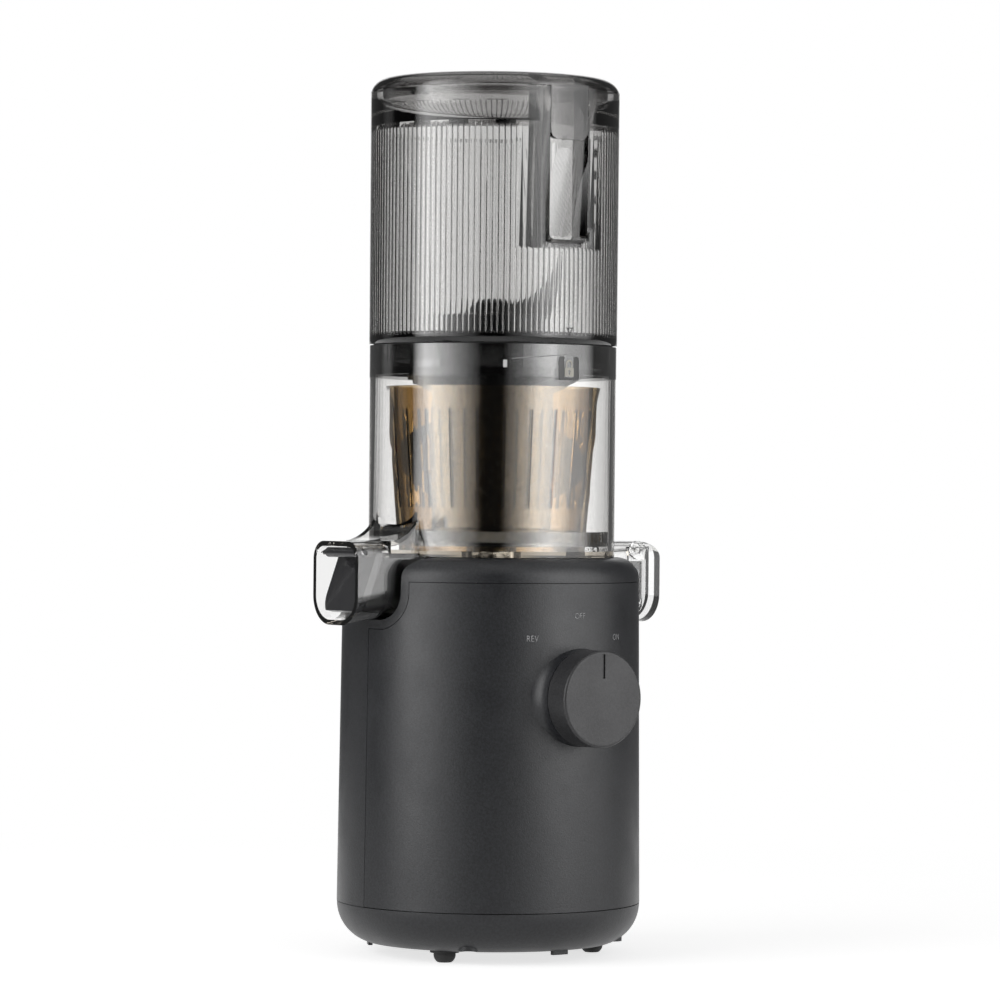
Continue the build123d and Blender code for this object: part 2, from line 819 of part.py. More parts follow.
def motor_pinion():
    return outer_gear(sun_teeth, lid_plate_top + 0.6, first_gear_high) - disc(pinion_shaft_radius, 0, far)


def cooling_fan():
    """A radial fan: a hub, a back plate and straight blades under it."""
    low = fan_top - fan_height
    fan = disc(9.0, low, fan_top) + disc(fan_radius, fan_top - 1.8, fan_top)
    blade = block((8.0, fan_radius - 0.5), (-0.8, 0.8), (low + 1.0, fan_top - past))
    for placed in around(blade, fan_blades):
        fan += placed
    return fan - disc(motor_shaft_radius, 0, far)


def motor_screws():
    """Four screws down through the gearbox lid into the motor can."""
    head_top = lid_plate_top
    body = disc(long_screw_radius, motor_top - 4.5, head_top)
    one = Pos(20.0, 0, 0) * (body + disc(2.8, head_top - 2.0, head_top))
    return around(one, 4)


# ---------------------------------------------------------------- gearbox
def gearbox_housing():
    """The ring gear and its case in one, closed above around the output bushing."""
    case = disc(gearbox_radius, lid_plate_top, gear_top)
    case -= ring_cutter(lid_plate_top - past, gear_ceiling - 3.0)
    case -= disc(ring_pitch - 2.0 * gear_module, lid_plate_top - past, gear_ceiling)
    case += disc(bushing_radius + 2.5, gear_ceiling, deck_bottom - 1.0)
    case -= disc(bushing_radius, gear_ceiling - past, far)
    long_hole = Pos(gearbox_screw_circle, 0, 0) * disc(long_screw_radius + screw_play, 0, gear_top + past)
    for placed in around(long_hole, 4, 45):
        case -= placed
    return case


def gearbox_lid():
    """The plate between motor and gearbox, with the upper motor bearing's boss."""
    lid = disc(gearbox_radius, lid_plate_low, lid_plate_top)
    lid += disc(bearing_radius + 3.0, lid_plate_low - bearing_width, lid_plate_low + past)
    lid -= disc(bearing_radius, 0, lid_plate_low)
    lid -= disc(motor_shaft_radius + 2.0, 0, far)
    long_hole = Pos(gearbox_screw_circle, 0, 0) * (
        disc(long_screw_radius + screw_play, 0, far) + disc(3.0, 0, lid_plate_low + 2.2))
    for placed in around(long_hole, 4, 45):
        lid -= placed
    short_hole = Pos(20.0, 0, 0) * (disc(long_screw_radius + screw_play, 0, far)
                                    + disc(3.0, lid_plate_top - 2.0, far))
    for placed in around(short_hole, 4):
        lid -= placed
    return lid


def gearbox_screws():
    """Four long screws through lid and case into the deck's bosses."""
    body = disc(long_screw_radius, lid_plate_low, deck_bottom - 2.0)
    one = Pos(gearbox_screw_circle, 0, 0) * (body + disc(2.8, lid_plate_low, lid_plate_low + 2.2))
    return around(one, 4, 45)


def output_bushing():
    """The flanged bronze bushing that the drive shaft turns in."""
    bush = disc(bushing_radius, gear_ceiling, deck_bottom - 1.0)
    bush += disc(bushing_radius + 2.0, gear_ceiling - 2.0, gear_ceiling)
    return bush - disc(drive_radius + running_play, 0, far)


def shaft_seal():
    """The lip seal in the deck's hole."""
    seal = tube(shaft_hole_radius, drive_radius + 2.5, deck_bottom, deck_top)
    lip = tube(shaft_hole_radius - past, drive_radius + running_play, deck_top - 1.2, deck_top)
    return seal + lip


def drive_shaft():
    """The output shaft with its hexagonal end above the deck."""
    shaft = disc(drive_radius, second_carrier_low, deck_top + 1.5)
    shaft += hexagon(drive_flats, deck_top, drive_top)
    return shaft


def output_carrier():
    body = carrier(second_carrier_low, second_carrier_top, second_gear_low + 0.3)
    return body - disc(drive_radius, second_carrier_low - past, far)


def first_carrier():
    return carrier(first_carrier_low, first_carrier_top, first_gear_low + 0.3)


# ---------------------------------------------------------------- control board
def control_board():
    half_x = board_width / 2
    half_z = board_height / 2
    board = block((-half_x, half_x), (board_distance, board_distance + board_thickness),
                  (board_middle - half_z, board_middle + half_z))
    for x, z in board_corners():
        board -= bar_along_y(long_screw_radius + 0.2, x, z, 0, far)
    return board


def board_screws():
    screws = []
    for x, z in board_corners():
        shank = bar_along_y(1.2, x, z, board_distance, board_distance + 10.0)
        screws.append(shank + bar_along_y(2.6, x, z, board_distance - 1.8, board_distance))
    return screws


def board_relay():
    low = board_distance + board_thickness
    return block((-14.0, 1.0), (low, low + 14.0), (board_middle + 2.0, board_middle + 21.0))


def board_capacitor():
    low = board_distance + board_thickness
    can = block((5.0, 18.0), (low, low + 11.0), (board_middle - 20.0, board_middle + 4.0))
    return fillet(can.edges(), 1.0)


def safety_switch():
    """The small switch under the deck that senses that the chamber is in place."""
    body = block((-50.0, -38.0), (-42.0, -34.0), (deck_bottom - 9.0, deck_bottom))
    return body


# ---------------------------------------------------------------- chamber
def spout_profile(inset):
    """The spout in the (x, z) plane with its concave sweep up to the chamber wall."""
    top = duct_top - inset
    radius = spout_blend + inset
    centre_x = -(chamber_radius + spout_blend - 1.0)
    centre_z = duct_top + spout_blend
    end_x = -(chamber_bore - 2.0)
    across = min(end_x - centre_x, radius)
    rise = centre_z - sqrt(radius ** 2 - across ** 2)
    middle_angle = atan2(rise - centre_z, end_x - centre_x) / 2 - pi / 4
    bend = (centre_x + radius * cos(middle_angle), centre_z + radius * sin(middle_angle))
    lines = [
        ThreePointArc((centre_x, top), bend, (end_x, rise)),
        Polyline((end_x, rise), (end_x, top - 6.0), (centre_x, top - 6.0), (centre_x, top)),
    ]
    return Plane.XZ * make_face(Curve() + lines)


def chamber_bowl():
    """The clear chamber with its collar, tower, spout and pulp outlet."""
    bowl = disc(chamber_radius, chamber_bottom, collar_bottom)
    bowl += disc(collar_radius, collar_bottom, collar_top)
    spout = duct(0, -(spout_inner - 2.9), -spout_reach, spout_reach)
    sweep = extrude(spout_profile(0), amount=duct_half_width, both=True)
    outlet = duct(0, outlet_inner - 2.9, outlet_end(), outlet_reach)
    chute = block((chute_inner - 2.4, outlet_inner), (-chute_half_width, chute_half_width),
                  (chamber_bottom - chute_drop, chamber_bottom + past))
    bowl += spout + sweep + outlet + chute

    hollow = disc(chamber_bore, floor_top, collar_top + past)
    spout_hollow = duct(duct_wall, -spout_inner, -(spout_reach + past), spout_reach)
    sweep_hollow = extrude(spout_profile(duct_wall), amount=duct_half_width - duct_wall, both=True)
    outlet_hollow = duct(duct_wall, outlet_inner, outlet_end() + past, outlet_reach)
    chute_side = chute_half_width - 2.4
    chute_hollow = block((chute_inner, outlet_inner + past), (-chute_side, chute_side),
                         (chamber_bottom - chute_drop + 2.4, chamber_bottom + 0.3))
    pulp_hole = block((chute_inner, chute_inner + 9.0), (-chute_side, chute_side),
                      (chamber_bottom, floor_top + past))
    juice_hole = block((-chamber_bore + 0.5, -spout_inner), (-12.0, 12.0),
                       (chamber_bottom - past, floor_top + past))
    outlet_hollow -= disc(chamber_radius, chamber_bottom, far)
    bowl -= hollow + spout_hollow + outlet_hollow + chute_hollow + pulp_hole + juice_hole
    bowl -= sweep_hollow - disc(chamber_bore - past, 0, far)

    bowl += tube(tower_radius, sleeve_radius + 0.7, chamber_bottom, tower_top)
    bowl -= disc(sleeve_radius + 0.7, chamber_bottom - past, tower_top + past)
    bowl -= bar_along_y(spout_pin + running_play, spout_pivot()[0], spout_pivot()[1], -far, far)
    return outlet_end_shaped(bowl) - bayonet_grooves()


def outlet_end():
    """Where the outlet's duct ends: as far past the cap's pivot as the lug is round."""
    return outlet_pivot + outlet_lug


def outlet_pivot_height():
    return duct_top - outlet_lug + 0.4


def spout_pivot():
    """The juice cap's pivot in the (x, z) plane."""
    return -(spout_reach - 4.8), duct_top - 5.7


def arm_inner():
    """The inner side of the pulp cap's arms, from the middle plane."""
    return duct_half_width - 2.2


def outlet_end_shaped(bowl):
    """Sets the outlet's side walls in for the cap's arms and rounds its upper corner."""
    z = outlet_pivot_height()
    for side in (-1, 1):
        side_cut = block((outlet_pivot - outlet_lug - 1.5, far),
                         sorted((side * (arm_inner() - cap_play), side * far)), (0, floor_top + 40))
        bowl -= side_cut
        stub_ends = sorted((side * (arm_inner() - cap_play - 1.0), side * (duct_half_width - 0.2)))
        bowl += bar_along_y(outlet_pin - running_play, outlet_pivot, z, *stub_ends)
    corner = block((outlet_pivot, far), (-far, far), (z, z + 40))
    corner -= bar_along_y(outlet_lug, outlet_pivot, z, -far, far)
    return bowl - corner


def bayonet_grooves():
    """The four grooves inside the collar that hold the hopper's lugs, and their ways in."""
    reach = skirt_radius + lug_reach + groove_play
    low = lug_low() - groove_play
    groove = tube(reach, chamber_bore - past, low, low + lug_height + 2 * groove_play)
    sweep = twist_angle / 2 + lug_angle / 2 + 1.0
    groove &= wedge(-twist_angle / 2, sweep, low - past, low + 3 * lug_height)
    way_in = tube(reach, chamber_bore - past, low, collar_top + past)
    way_in &= wedge(-twist_angle, lug_angle / 2 + 1.0, low - past, collar_top + past)
    return around(groove + way_in, 4, lug_first_angle())


def lug_low():
    return collar_bottom + 5.0


def lug_first_angle():
    return -90.0 + 20.0


def chamber_seal():
    """The silicone ring on the tower that wipes the auger's sleeve."""
    return tube(tower_radius + 0.6, sleeve_radius + running_play, tower_top, seal_top)


def strainer(low_radius, high_radius, wall, low, slot_shift):
    """A slotted cone."""
    shell = cone(low_radius, high_radius, low, strainer_top)
    shell -= cone(low_radius - wall, high_radius - wall, low, strainer_top)
    slot = block((low_radius - 4.0, high_radius + 3.0), (-slot_width / 2, slot_width / 2),
                 (low + 22.0, strainer_top - 12.0))
    for placed in around(slot, strainer_slots, slot_shift):
        shell -= placed
    return shell


def outer_strainer():
    cage = strainer(strainer_low_radius, strainer_high_radius, strainer_wall, floor_top, 0)
    hem = tube(strainer_low_radius + 0.2, strainer_low_radius - strainer_wall, floor_top, floor_top + 2.5)
    return cage + hem


def inner_strainer():
    step = strainer_wall + strainer_gap
    cage = strainer(strainer_low_radius - step, strainer_high_radius - step, strainer_wall - 0.1,
                    floor_top, 180 / strainer_slots)
    return cage


def inner_strainer_bore(height):
    """The inner strainer's inner radius at a height."""
    share = (height - floor_top) / strainer_height
    outer = strainer_low_radius + (strainer_high_radius - strainer_low_radius) * share
    return outer - 2 * strainer_wall - strainer_gap + 0.1


def strainer_ring():
    """The smoky ring that centres the strainers in the chamber, notched over the juice hole."""
    low = floor_top + 2.5
    ring = disc(chamber_bore - 0.4, low, low + strainer_ring_height)
    ring -= cone(strainer_low_radius, strainer_high_radius, floor_top, strainer_top)
    return ring - block((-far, -strainer_low_radius), (-13.0, 13.0), (0, far))


# ---------------------------------------------------------------- auger
def flight_section():
    """The auger's cross-section: a round core with two broad flights."""
    core = Circle(auger_core_low)
    reach = inner_strainer_bore(flight_top)
    for start in (0, 180):
        rim = [(reach * cos(radians(start + a)), reach * sin(radians(start + a)))
               for a in (-flight_angle / 2, 0, flight_angle / 2)]
        core += make_face(Polyline((0, 0), *rim, close=True))
    return core


def auger_screw():
    """The tapered auger with two helical flights and a hollow that clears the chamber's tower."""
    twisted = Solid.extrude_linear_with_rotation(
        Pos(0, 0, auger_low) * flight_section().faces()[0], Vector(0, 0, auger_low),
        Vector(0, 0, flight_height), flight_turn)
    low_tip = inner_strainer_bore(auger_low) - auger_gap
    high_tip = inner_strainer_bore(flight_top) - auger_gap
    screw_body = twisted & cone(low_tip, high_tip, auger_low, flight_top)
    screw_body += cone(auger_core_low, auger_core_high, auger_low, auger_top)
    screw_body -= disc(tower_radius + 2.0, auger_low - past, seal_top + 1.0)
    return screw_body - disc(sleeve_radius, auger_low, sleeve_high)


def auger_sleeve():
    """The steel sleeve with the hexagonal socket that slips over the drive shaft."""
    sleeve = disc(sleeve_radius, sleeve_low, sleeve_high)
    return sleeve - hexagon(drive_flats + 2 * socket_play, sleeve_low - past, drive_top + 1.0)


def cutting_wing():
    """The domed cap of the auger with the curved wing that draws the fruit in."""
    base = auger_top
    hub = turned(
        Polyline((0, base), (auger_core_high, base), (auger_core_high, base + 11.5),
                 (dome_radius + 3.0, base + 13.2), (dome_radius, base + 16.0)),
        ThreePointArc((dome_radius, base + 16.0), (0.62 * dome_radius, base + 19.4), (0, base + 20.6)),
        Line((0, base + 20.6), (0, base)),
    )
    tip = base + wing_height
    outline = [
        (6.0, base + 2.0), (6.0, base + 16.0), (0.36 * wing_reach, base + 19.2),
        (0.53 * wing_reach, base + 21.6), (0.70 * wing_reach, base + 26.6),
        (0.77 * wing_reach, base + 30.0), (0.90 * wing_reach, base + 38.5),
        (0.985 * wing_reach, tip), (wing_reach, tip), (0.99 * wing_reach, base + 32.0),
        (0.84 * wing_reach, base + 12.6), (0.68 * wing_reach, base + 7.6), (0.5 * wing_reach, base + 2.0),
    ]
    plate = side_profile(outline, 20.0)
    curve = Pos(0.5 * wing_reach, -38.0, 0) * tube(
        38.0 + wing_thickness / 2, 38.0 - wing_thickness / 2, base, tip + past)
    return hub + Rot(0, 0, wing_azimuth) * (plate & curve)


# ---------------------------------------------------------------- caps
def juice_cap():
    """The flap in the spout: a barrel with two stub pins, a head and a sloping plate."""
    x, z = spout_pivot()
    side = duct_half_width - duct_wall - 0.5
    barrel = bar_along_y(2.6, x, z, -side + 4.0, side - 4.0)
    barrel += bar_along_y(spout_pin, x, z, -(side + 2.2), side + 2.2)
    head = block((x - 1.6, x + 8.0), (-side + 4.0, side - 4.0), (z - 2.0, z + 2.0))
    outline = [(x + 8.5, z - 0.5), (x + 12.5, z - 0.5), (x + 1.08, z - 30.5), (x - 2.3, z - 29.6)]
    plate = side_profile(outline, side - 1.0)
    plate &= duct_run(duct_wall + 1.5, (x - 4.0, x + 14.0), spout_reach, duct_top)
    return barrel + head + plate


def juice_plug():
    """The silicone pad on the inner side of the juice cap."""
    x, z = spout_pivot()
    side = duct_half_width - duct_wall - 4.6
    outline = [(x + 12.0, z - 2.0), (x + 14.6, z - 3.0), (x + 5.9, z - 25.4), (x + 3.1, z - 25.4)]
    return side_profile(outline, side)


def pulp_cap():
    """The clear cap over the outlet's mouth, on two arms that ride on the outlet's stub pins."""
    z = outlet_pivot_height()
    mouth = outlet_end() + cap_play
    hood = duct_run(0, (mouth, outlet_reach), outlet_reach, duct_top)
    hollow_span = (mouth + cap_wall + 0.6, outlet_reach - cap_wall)
    hood -= duct_run(cap_wall, hollow_span, outlet_reach, duct_top - cap_wall)
    corner = block((outlet_reach - cap_corner, far), (-far, far), (duct_top - cap_corner, far))
    corner -= bar_along_y(cap_corner, outlet_reach - cap_corner, duct_top - cap_corner, -far, far)
    hood -= corner
    for side in (-1, 1):
        ends = sorted((side * arm_inner(), side * duct_half_width))
        lug = bar_along_y(outlet_lug, outlet_pivot, z, *ends)
        arm = block((outlet_pivot, mouth + 2.0), ends, (z - 5.0, z + 2.0))
        hood += lug + arm
    return hood - bar_along_y(outlet_pin, outlet_pivot, z, -far, far)


def pulp_plug():
    """The silicone plug on the pulp cap, seated in the outlet's mouth."""
    z = outlet_pivot_height()
    inset = duct_wall + plug_play
    mouth = outlet_end() + cap_play
    body = duct_run(inset, (mouth - 4.5, mouth), outlet_reach, z + 2.4)
    slope = [(mouth + past, z - 6.0), (mouth, z - 6.0), (mouth - 2.0, z - 8.0), (mouth - 4.4, z - 27.0),
             (mouth, z - 33.0), (mouth, duct_bottom - 20), (mouth + past, duct_bottom - 20)]
    return body & side_profile(slope, duct_half_width)


# ---------------------------------------------------------------- hopper and lid
def hopper_wall_radius(height):
    return hopper_radius + hopper_draft * (height - hopper_bottom) / hopper_height


def hopper():
    """The tall hopper with its skirt, bayonet lugs, finger channel and hinge ears."""
    outer = cone(hopper_radius, lid_radius, hopper_bottom, hopper_top)
    shell = outer - disc(hopper_bore, hopper_bottom + 3.0, rim_bottom + past)
    shell -= disc(hopper_radius - rim_wall, rim_bottom, hopper_top + past)
    shell += disc(skirt_radius, skirt_bottom, hopper_bottom + past)
    shell -= disc(throat_radius, hopper_bottom - past, hopper_bottom + 10)
    shell -= disc(skirt_radius - skirt_wall, skirt_bottom - past, hopper_bottom)

    wall_side = channel_half_width + channel_wall
    liner = block((-wall_side, wall_side), (-far, -(channel_floor - channel_floor_wall)),
                  (channel_low - channel_wall, hopper_top))
    liner = fillet(liner.edges().filter_by(Axis.Y).group_by(Axis.Z)[0], 5.0)
    shell += liner & outer
    channel = block((-channel_half_width, channel_half_width), (-far, -channel_floor),
                    (channel_low, hopper_top + past))
    shell -= fillet(channel.edges().filter_by(Axis.Y).group_by(Axis.Z)[0], 3.0)

    lug = tube(skirt_radius + lug_reach, skirt_radius - past, lug_low(), lug_low() + lug_height)
    lug &= wedge(0, lug_angle / 2, lug_low() - past, lug_low() + 2 * lug_height)
    for placed in around(lug, 4, lug_first_angle()):
        shell += placed

    for side in (-1, 1):
        ends = sorted((side * (knuckle_half_width + 0.4), side * hinge_half_width))
        ear = block(ends, (hopper_radius - 2.0, hinge_y + hinge_knuckle), (hinge_z - 9.0, hinge_z))
        ear += bar_along_x(hinge_knuckle, hinge_y, hinge_z, *ends)
        foot = side_cut(ends)
        shell += ear - foot
    gap_side = knuckle_half_width + 0.4
    shell -= bar_along_x(hinge_knuckle + 0.4, hinge_y, hinge_z, -gap_side, gap_side)
    return shell - bar_along_x(hinge_pin_radius, hinge_y, hinge_z, -far, far)


def side_cut(ends):
    """What is taken off an ear's lower end so that it slopes into the hopper's wall."""
    outer = hinge_y + hinge_knuckle + past
    outline = [(outer, hinge_z - 2.0), (outer, hinge_z - 12.0),
               (hopper_radius - 1.0, hinge_z - 12.0), (hopper_radius - 1.0, hinge_z - 9.0)]
    face = Plane.YZ * make_face(Polyline(*outline, close=True))
    return Pos(ends[0] - past, 0, 0) * extrude(face, amount=ends[1] - ends[0] + 2 * past)


def lid_hinge_pin():
    return bar_along_x(hinge_pin_radius, hinge_y, hinge_z, -hinge_half_width, hinge_half_width)


def collar_seal():
    """The thin dark gasket between collar and hopper."""
    return tube(skirt_radius + 1.6, skirt_radius, collar_top + 0.05, hopper_bottom)


def lid():
    """The domed lid with its slanted skirt, front tongue and hinge knuckle."""
    edge_x = lid_radius - lid_edge_width
    bend = (lid_radius - 0.29 * lid_edge_width, lid_bottom + 0.71 * lid_height)
    cap = turned(
        Polyline((edge_x, lid_top), (0, lid_top), (0, lid_bottom), (lid_radius, lid_bottom)),
        ThreePointArc((lid_radius, lid_bottom), bend, (edge_x, lid_top)),
    )
    cap -= disc(lid_radius - 4.0, lid_bottom - past, lid_top - lid_plate)

    skirt_outer = hopper_radius - rim_wall - lid_skirt_inset
    skirt = tube(skirt_outer, skirt_outer - lid_skirt_wall, hopper_top - 30.0, lid_top - lid_plate / 2)
    front = hopper_top - lid_skirt_front
    back = hopper_top - lid_skirt_back
    slope = (back - front) / (2 * skirt_outer)
    middle = (front + back) / 2
    below = [(-far, middle - far * slope), (far, middle + far * slope), (far, -far), (-far, -far)]
    skirt -= Pos(-far, 0, 0) * extrude(Plane.YZ * make_face(Polyline(*below, close=True)), amount=2 * far)
    clear_side = channel_half_width + channel_wall + 1.5
    skirt -= block((-clear_side, clear_side), (-far, -(channel_floor - channel_floor_wall - 3.0)),
                   (0, lid_bottom + 0.5))
    cap += skirt

    tongue_side = channel_half_width - tongue_play
    tongue = block((-tongue_side, tongue_side), (-lid_radius - past, -(lid_radius - tongue_thickness - 2.0)),
                   (hopper_top - tongue_drop, lid_bottom + past))
    tongue = fillet(tongue.edges().filter_by(Axis.Y).group_by(Axis.Z)[0], tongue_corner)
    tongue &= tube(lid_radius, lid_radius - tongue_thickness, 0, far)
    cap += tongue

    notch_side = hinge_half_width + 0.4
    cap -= block((-notch_side, notch_side), (hinge_y - hinge_knuckle - 0.5, far),
                 (lid_bottom - past, lid_top + past))
    knuckle = bar_along_x(hinge_knuckle, hinge_y, hinge_z, -knuckle_half_width, knuckle_half_width)
    web = block((-knuckle_half_width, knuckle_half_width), (hinge_y - hinge_knuckle - 1.5, hinge_y),
                (lid_bottom + 0.2, lid_bottom + hinge_knuckle))
    cap += knuckle + web
    return cap - bar_along_x(hinge_pin_radius + running_play, hinge_y, hinge_z, -far, far)


# ---------------------------------------------------------------- all the pieces
shell = base_shell()
pieces = {
    "rear_housing": rear_housing(shell),
    "front_panel": front_panel(shell),
    "bottom_cover": bottom_cover(),
    "rubber_feet": rubber_feet(),
    "cover_screws": cover_screws(),
    "cord_gland": cord_gland(),
    "shaft_seal": shaft_seal(),
    "control_knob": control_knob(),
    "switch_shaft": switch_shaft(),
    "rotary_switch": rotary_switch(),
    "switch_nut": switch_nut(),
    "motor_can": motor_can(),
    "motor_end_plate": motor_end_plate(),
    "motor_bearings": motor_bearings(),
    "motor_screws": motor_screws(),
    "stator_core": stator_core(),
    "stator_windings": stator_windings(),
    "rotor_core": rotor_core(),
    "motor_shaft": motor_shaft(),
    "motor_pinion": motor_pinion(),
    "cooling_fan": cooling_fan(),
    "gearbox_housing": gearbox_housing(),
    "gearbox_lid": gearbox_lid(),
    "gearbox_screws": gearbox_screws(),
    "output_bushing": output_bushing(),
    "first_carrier": first_carrier(),
    "second_sun": outer_gear(sun_teeth, first_carrier_top, second_gear_high),
    "output_carrier": output_carrier(),
    "drive_shaft": drive_shaft(),
    "control_board": control_board(),
    "board_screws": board_screws(),
    "board_relay": board_relay(),
    "board_capacitor": board_capacitor(),
    "safety_switch": safety_switch(),
    "chamber_bowl": chamber_bowl(),
    "chamber_seal": chamber_seal(),
    "outer_strainer": outer_strainer(),
    "inner_strainer": inner_strainer(),
    "strainer_ring": strainer_ring(),
    "auger_screw": auger_screw(),
    "auger_sleeve": auger_sleeve(),
    "cutting_wing": cutting_wing(),
    "juice_cap": juice_cap(),
    "juice_plug": juice_plug(),
    "pulp_cap": pulp_cap(),
    "pulp_plug": pulp_plug(),
    "hopper": hopper(),
    "lid_hinge_pin": lid_hinge_pin(),
    "collar_seal": collar_seal(),
    "lid": lid(),
}
for number in range(planet_count):
    pieces[f"first_planet_{number + 1}"] = planet_gear(number, first_gear_low, first_gear_high)
    pieces[f"second_planet_{number + 1}"] = planet_gear(number, second_gear_low, second_gear_high)

os.makedirs("parts", exist_ok=True)
for name, shape in pieces.items():
    whole = Compound(children=shape) if isinstance(shape, list) else shape
    export_step(whole, f"parts/{name}.step")
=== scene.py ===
import math

import bmesh
import bpy
import numpy as np
from mathutils import Matrix, Vector


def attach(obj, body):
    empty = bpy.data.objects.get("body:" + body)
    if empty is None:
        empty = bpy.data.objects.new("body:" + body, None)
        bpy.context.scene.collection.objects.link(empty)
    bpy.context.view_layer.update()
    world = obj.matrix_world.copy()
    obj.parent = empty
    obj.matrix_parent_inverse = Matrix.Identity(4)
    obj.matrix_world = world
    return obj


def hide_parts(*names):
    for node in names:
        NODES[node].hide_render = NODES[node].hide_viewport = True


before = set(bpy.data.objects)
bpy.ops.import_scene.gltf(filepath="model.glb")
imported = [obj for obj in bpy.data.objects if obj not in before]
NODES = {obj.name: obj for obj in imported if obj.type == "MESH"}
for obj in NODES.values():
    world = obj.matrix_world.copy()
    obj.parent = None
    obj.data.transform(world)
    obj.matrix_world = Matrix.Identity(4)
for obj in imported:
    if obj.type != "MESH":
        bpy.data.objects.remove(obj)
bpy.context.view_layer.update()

MM = 0.001


# ---------------------------------------------------------------- materials
NOISE_LOW, NOISE_HIGH = 0.3, 0.7        # most of a noise's values lie between these


class Shader:
    """A node material that is built up one layer at a time."""

    def __init__(self, name, colour, rough, **sockets):
        self.mat = bpy.data.materials.new(name)
        self.mat.use_nodes = True
        self.tree = self.mat.node_tree
        self.bsdf = self.tree.nodes["Principled BSDF"]
        self.out = self.tree.nodes["Material Output"]
        self.bsdf.inputs["Base Color"].default_value = (*colour, 1.0)
        self.bsdf.inputs["Roughness"].default_value = rough
        for key, value in sockets.items():
            self.bsdf.inputs[key.replace("_", " ")].default_value = value
        self.coords = self.tree.nodes.new("ShaderNodeTexCoord").outputs["Object"]
        self.normal = None

    def node(self, kind, **values):
        """A new node, with its inputs' values or its own settings."""
        made = self.tree.nodes.new("ShaderNode" + kind)
        for key, value in values.items():
            if key in made.inputs:
                made.inputs[key].default_value = value
            else:
                setattr(made, key, value)
        return made

    def link(self, a, b):
        """Joins an output to an input."""
        self.tree.links.new(a, b)

    def scaled(self, x, y, z):
        """Object coordinates, scaled."""
        mapping = self.node("Mapping")
        mapping.inputs["Scale"].default_value = (x, y, z)
        self.link(self.coords, mapping.inputs["Vector"])
        return mapping.outputs["Vector"]

    def noise(self, scale, detail=2.0, rough=0.5, vector=None):
        """Noise of a scale per metre, or along a vector of its own."""
        made = self.node("TexNoise", Scale=scale, Detail=detail, Roughness=rough)
        self.link(vector or self.coords, made.inputs["Vector"])
        return made.outputs["Fac"]

    def ramp(self, value, low, high, low_in, high_in):
        """A value that runs from low_in to high_in, made to run from low to high."""
        made = self.node("MapRange")
        made.inputs["From Min"].default_value = low_in
        made.inputs["From Max"].default_value = high_in
        made.inputs["To Min"].default_value = low
        made.inputs["To Max"].default_value = high
        self.link(value, made.inputs["Value"])
        return made.outputs["Result"]

    def colours(self, value, low, high, low_at=NOISE_LOW, high_at=NOISE_HIGH):
        """The base colour runs from low to high with a value."""
        made = self.node("ValToRGB")
        made.color_ramp.elements[0].color = (*low, 1.0)
        made.color_ramp.elements[1].color = (*high, 1.0)
        made.color_ramp.elements[0].position = low_at
        made.color_ramp.elements[1].position = high_at
        self.link(value, made.inputs["Fac"])
        self.link(made.outputs["Color"], self.bsdf.inputs["Base Color"])

    def roughness(self, value, low, high):
        """The roughness runs from low to high with a noise."""
        self.link(self.ramp(value, low, high, NOISE_LOW, NOISE_HIGH),
                  self.bsdf.inputs["Roughness"])

    def bump(self, value, distance, strength):
        """Bump from a value, on top of what the material has already."""
        made = self.node("Bump", Distance=distance, Strength=strength)
        self.link(value, made.inputs["Height"])
        if self.normal is not None:
            self.link(self.normal, made.inputs["Normal"])
        self.normal = made.outputs["Normal"]
        self.link(self.normal, self.bsdf.inputs["Normal"])

    def absorb(self, colour, density):
        """The tint that light takes on its way through."""
        made = self.node("VolumeAbsorption")
        made.inputs["Color"].default_value = (*colour, 1.0)
        made.inputs["Density"].default_value = density
        self.link(made.outputs["Volume"], self.out.inputs["Volume"])


def times(colour, factor):
    """A colour made darker or lighter, up to 1."""
    return tuple(min(1.0, c * factor) for c in colour)


def grained_plastic(name, colour, rough, grain=1300.0, depth=0.00009, gloss=0.5):
    """Textured moulded plastic: a fine spark-eroded grain and faint larger unevenness."""
    s = Shader(name, colour, rough, Specular_IOR_Level=gloss)
    s.bump(s.noise(grain, 2.0, 0.6), depth, 0.9)
    s.bump(s.noise(180.0, 2.0), 0.00006, 0.25)
    s.roughness(s.noise(60.0, 3.0), rough - 0.04, rough + 0.05)
    tone = s.noise(grain * 0.6, 2.0, 0.7)
    s.colours(tone, times(colour, 0.62), times(colour, 1.4), 0.36, 0.64)
    return s.mat


def clear_plastic(name, tint, density, rough=0.01, ior=1.53, coat=0.0, skin=0.985):
    """Polished transparent plastic with faint moulding waves and the tint of its thickness."""
    s = Shader(name, (skin, skin, skin), rough, IOR=ior, Transmission_Weight=1.0,
               Coat_Weight=coat)
    s.bump(s.noise(38.0, 1.0), 0.00001, 0.5)
    s.roughness(s.noise(90.0, 2.0), rough, rough + 0.012)
    s.absorb(tint, density)
    return s.mat


def metal(name, colour, rough, streak=(400.0, 400.0, 40.0)):
    """Turned, ground or cast metal with fine streaks along Z."""
    s = Shader(name, colour, rough, Metallic=1.0)
    lines = s.noise(1.0, 3.0, 0.6, s.scaled(*streak))
    s.roughness(lines, rough - 0.06, rough + 0.1)
    s.bump(lines, 0.00001, 0.4)
    s.colours(lines, times(colour, 0.9), times(colour, 1.06))
    return s.mat


def moulded(name, colour, rough, grain=700.0, **sockets):
    """Plain moulded plastic or rubber with a fine grain."""
    s = Shader(name, colour, rough, **sockets)
    s.bump(s.noise(grain, 2.0), 0.00002, 0.5)
    s.roughness(s.noise(120.0, 2.0), rough - 0.04, rough + 0.06)
    s.colours(s.noise(300.0, 2.0), times(colour, 0.92), times(colour, 1.08))
    return s.mat


